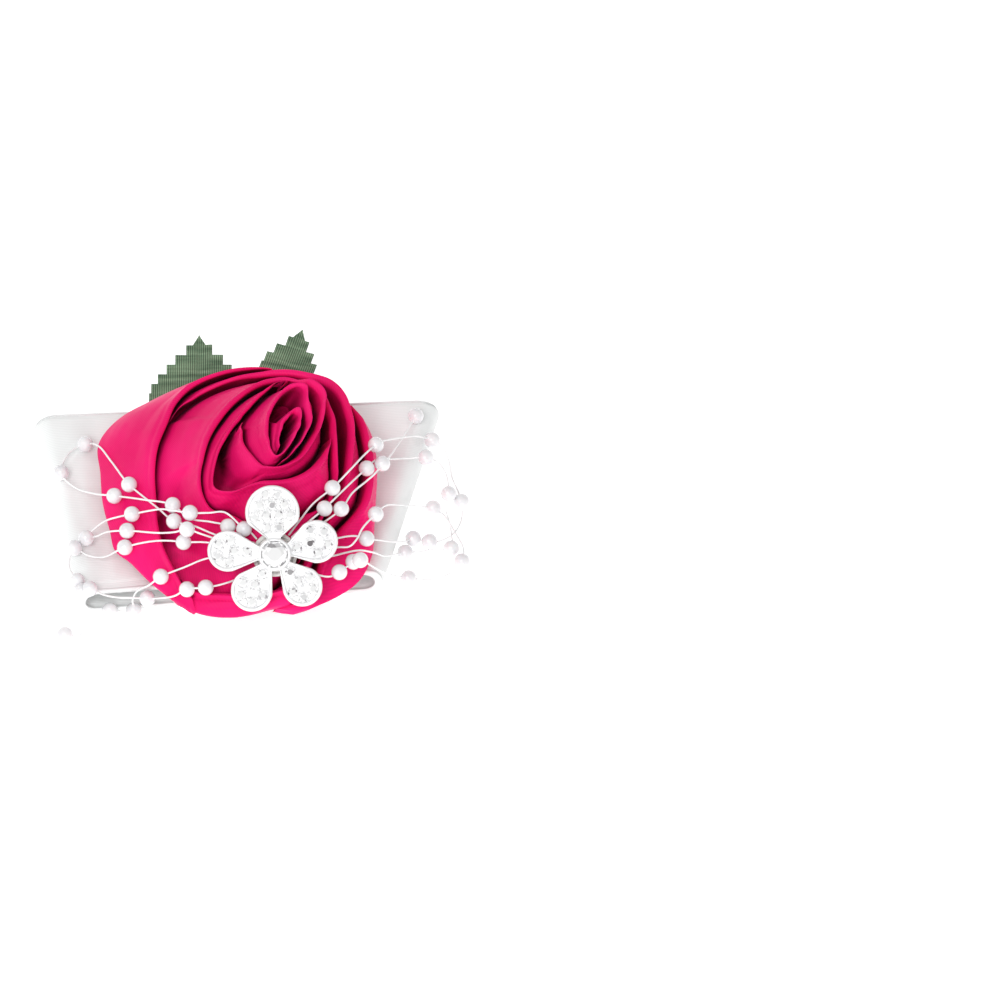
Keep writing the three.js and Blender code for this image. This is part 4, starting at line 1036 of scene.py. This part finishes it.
def teardrop(reach, radius, inset, count=40):
    """Outline of a petal of the setting, drawn in by inset."""
    neck = NECK_WIDTH / 2 - inset / 2
    outline = [(0, -neck), (BOSS_DIAMETER / 4, -neck), (BOSS_DIAMETER / 2, -neck)]
    for i in range(count + 1):
        turn = (-TEARDROP_HALF_TURN + 2 * TEARDROP_HALF_TURN * i / count) * DEGREE
        outline.append((reach + (radius - inset) * math.cos(turn), (radius - inset) * math.sin(turn)))
    return outline + [(BOSS_DIAMETER / 2, neck), (BOSS_DIAMETER / 4, neck), (0, neck)]


def setting_petal(bearing, reach, radius):
    spin = Matrix.Rotation(bearing * DEGREE, 3, "Z")
    rows = [[(x, y, z) for x, y in teardrop(reach, radius, inset)] for inset, z in SETTING_RIM]
    columns = len(rows[0])
    points = [spin @ Vector(p) for row in rows for p in row]
    faces = grid_faces(len(rows), columns, closed=True)
    faces.append(tuple(reversed(range(columns))))
    faces.append(tuple((len(rows) - 1) * columns + j for j in range(columns)))
    return points, faces


def stone_seat(node):
    """Centre, radius, lowest and highest point of a stone's solid, in the brooch's own frame."""
    back = BROOCH_FRAME.inverted()
    local = np.array([back @ (v.co / MM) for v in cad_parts[node].data.vertices])
    low, high = local.min(axis=0), local.max(axis=0)
    middle = (low + high) / 2
    return Vector((middle[0], middle[1], 0)), (high[0] - low[0]) / 2, low[2], high[2]


def brooch_piece(name, points, faces, material, slot, node, **looks):
    """A piece from points in the brooch's own frame."""
    points = [BROOCH_FRAME @ Vector(p) for p in points]
    return new_piece(name, points, faces, material, slot, (node,), **looks)


STONES = ["crystal_%02d" % number for number in range(1, 36)]


def make_setting():
    parts = [setting_petal(bearing, BROOCH_REACH * out, BROOCH_REACH * size)
             for bearing, out, size in SETTING_PETALS]
    for node in STONES:
        centre, radius, _, _ = stone_seat(node)
        parts.append(ring(centre, radius + COLLAR_GAP, COLLAR_THICKNESS,
                          SETTING_FLOOR + COLLAR_RISE))
        for k in range(4):
            turn = (45 + 90 * k) * DEGREE
            prong = centre + Vector((math.cos(turn), math.sin(turn), 0)) * (radius + PRONG_GAP)
            prong.z = SETTING_FLOOR + PRONG_RADIUS
            parts.append(sphere(prong, PRONG_RADIUS, 10, 6))
    r, h = BOSS_DIAMETER / 2, BOSS_HEIGHT
    profile = [(0, 0), (r, 0), (r, h - 0.4), (r - 0.12, h - 0.12), (r - 0.4, h), (r - 0.62, h - 0.06),
               (r - 0.75, h - 0.3), (r - 0.8, h - 0.7), (0, h - 0.7)]
    parts.append(turned(profile, 48, ORIGIN))
    for k in range(CENTRE_PRONGS):
        turn = FULL_TURN / CENTRE_PRONGS * (k + 0.5) * DEGREE
        prong = Vector((math.cos(turn) * CENTRE_PRONG_REACH, math.sin(turn) * CENTRE_PRONG_REACH, h + 0.05))
        parts.append(sphere(prong, CENTRE_PRONG_RADIUS, 12, 8))
    points, faces = joined(parts)
    piece = brooch_piece("brooch_cast_setting", points, faces, silver, "bright_silver", "brooch_setting")
    piece.data.polygons.foreach_set("use_smooth", [len(f) < 5 for f in faces])


make_setting()

TABLE_SHARE, KITE_SHARE = 0.56, 0.8  # of a stone's radius
GIRDLE_LEVEL, KITE_LEVEL = 0.55, 0.62  # shares of the way from point to table, and from girdle to table
STONE_GROWTH = 1.05  # the cut stone fills its seat
STONE_TURN = 1.7  # radians from one stone to the next
# Painted glints of the stones: how many facets are painted bright, and the painted shade of the facets at the
# girdle
GLINT_POWER = 0.7  # less than 1 makes more facets bright
RIM_SHADE = 0.4  # by which the facets at the girdle are darker


def brilliant(centre, radius, low, high):
    """A round brilliant: table, star, kite and girdle facets above, main facets below."""
    girdle = low + (high - low) * GIRDLE_LEVEL
    points = [Vector((centre.x, centre.y, low))]

    def circle(count, share, z, offset):
        start = len(points)
        for i in range(count):
            turn = 2 * math.pi * (i + offset) / count
            points.append(Vector((centre.x + radius * share * math.cos(turn),
                                  centre.y + radius * share * math.sin(turn), z)))
        return start

    lower = circle(16, 1.0, girdle - 0.05, 0.0)
    upper = circle(16, 1.0, girdle + 0.05, 0.0)
    kite = circle(8, KITE_SHARE, girdle + (high - girdle) * KITE_LEVEL, 0.5)
    table = circle(8, TABLE_SHARE, high, 0.0)
    faces = [tuple(table + i for i in range(8))]
    for i in range(8):
        k = (i + 1) % 8
        faces.append((table + i, kite + i, table + k))
        faces.append((table + k, kite + i, upper + 2 * k, kite + k))
        faces.append((kite + i, upper + 2 * i, upper + 2 * i + 1))
        faces.append((kite + i, upper + 2 * i + 1, upper + (2 * i + 2) % 16))
    for i in range(16):
        k = (i + 1) % 16
        faces.append((upper + i, lower + i, lower + k, upper + k))
        faces.append((lower + i, 0, lower + k))
    return points, faces


def make_stone(name, node, seed):
    centre, radius, low, high = stone_seat(node)
    flat_points, faces = brilliant(centre, radius * STONE_GROWTH, low, high)
    spin = Matrix.Rotation(seed * STONE_TURN, 4, "Z")
    spin = Matrix.Translation(centre) @ spin @ Matrix.Translation(-centre)
    points = [spin @ p for p in flat_points]
    piece = brooch_piece(name, points, faces, crystal, "crystal", node, smooth=False)
    # painted glints: each facet gets a random brightness, and the facets at the girdle get painted shade
    painted_facet_shading = piece.data.attributes.new("painted_facet_shading", "FLOAT", "FACE")
    dice = np.random.default_rng(seed)
    painted_shading = dice.random(len(faces)) ** GLINT_POWER
    from_axis = [(p.xy - centre.xy).length for p in flat_points]
    outer = [min(from_axis[i] for i in face) for face in faces]
    painted_shading -= RIM_SHADE * (np.array(outer) > 0.95 * radius)
    painted_facet_shading.data.foreach_set("value", np.clip(painted_shading, 0, 1).astype(np.float32))


for seed, node in enumerate(STONES):
    make_stone("stone_" + node[-2:], node, seed + 1)
make_stone("stone_centre", "centre_crystal", 40)


TIE_RADIUS, TIE_TOP, THREAD_RADIUS = 2.75, -0.62, 0.5
TIE_STEPS = (0.95, 0.32)  # from turn to turn, outwards and down


def make_tie():
    """Thread wound round the strands' ends behind the brooch."""
    outwards, down = TIE_STEPS
    turns = [ring(ORIGIN, TIE_RADIUS + outwards * turn, THREAD_RADIUS, TIE_TOP - down * row, 8, 40)
             for row in range(5) for turn in range(3)]
    brooch_piece("thread_tie", *joined(turns), felt, "felt", "pearl_bundle_tie")


make_tie()
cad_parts["brooch_shank"].data.materials.clear()
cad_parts["brooch_shank"].data.materials.append(silver)

# Floor and light, in metres and watts
FLOOR_WIDTH = 8.0
SKY_STRENGTH = 0.62
LAMPS = {  # name: place, width, energy
    "key": ((-0.3, -0.62, 1.0), 0.5, 4.9),
    "side": ((-0.75, 0.5, 0.75), 0.5, 1.4),
    "fill": ((0.1, -1.2, 0.3), 0.9, 4.6),
}


def make_floor():
    material = plain_material("pale_floor", 3, 0.93, 0.95, Roughness=0.85, Emission_Strength=0.55,
                              Emission_Color=(1, 1, 1, 1))
    mesh = bpy.data.meshes.new("floor")
    half = FLOOR_WIDTH / 2
    corners = [(-half, -half, 0), (half, -half, 0), (half, half, 0), (-half, half, 0)]
    mesh.from_pydata(corners, [], [(0, 1, 2, 3)])
    mesh.materials.append(material)
    put("floor", mesh)


def make_light(name, place, size, energy):
    data = bpy.data.lights.new(name, "AREA")
    data.shape = "SQUARE"
    data.size = size
    data.energy = energy
    light = put(name, data)
    light.location = place
    point_along(light, -Vector(place))


def make_world():
    world = bpy.data.worlds.new("studio")
    world.use_nodes = True
    sky = world.node_tree.nodes["Background"].inputs
    sky["Color"].default_value = (1, 1, 1, 1)
    sky["Strength"].default_value = SKY_STRENGTH
    bpy.context.scene.world = world


make_floor()
make_world()
for name, lamp in LAMPS.items():
    make_light(name, *lamp)
bpy.context.scene.view_settings.view_transform = "Standard"
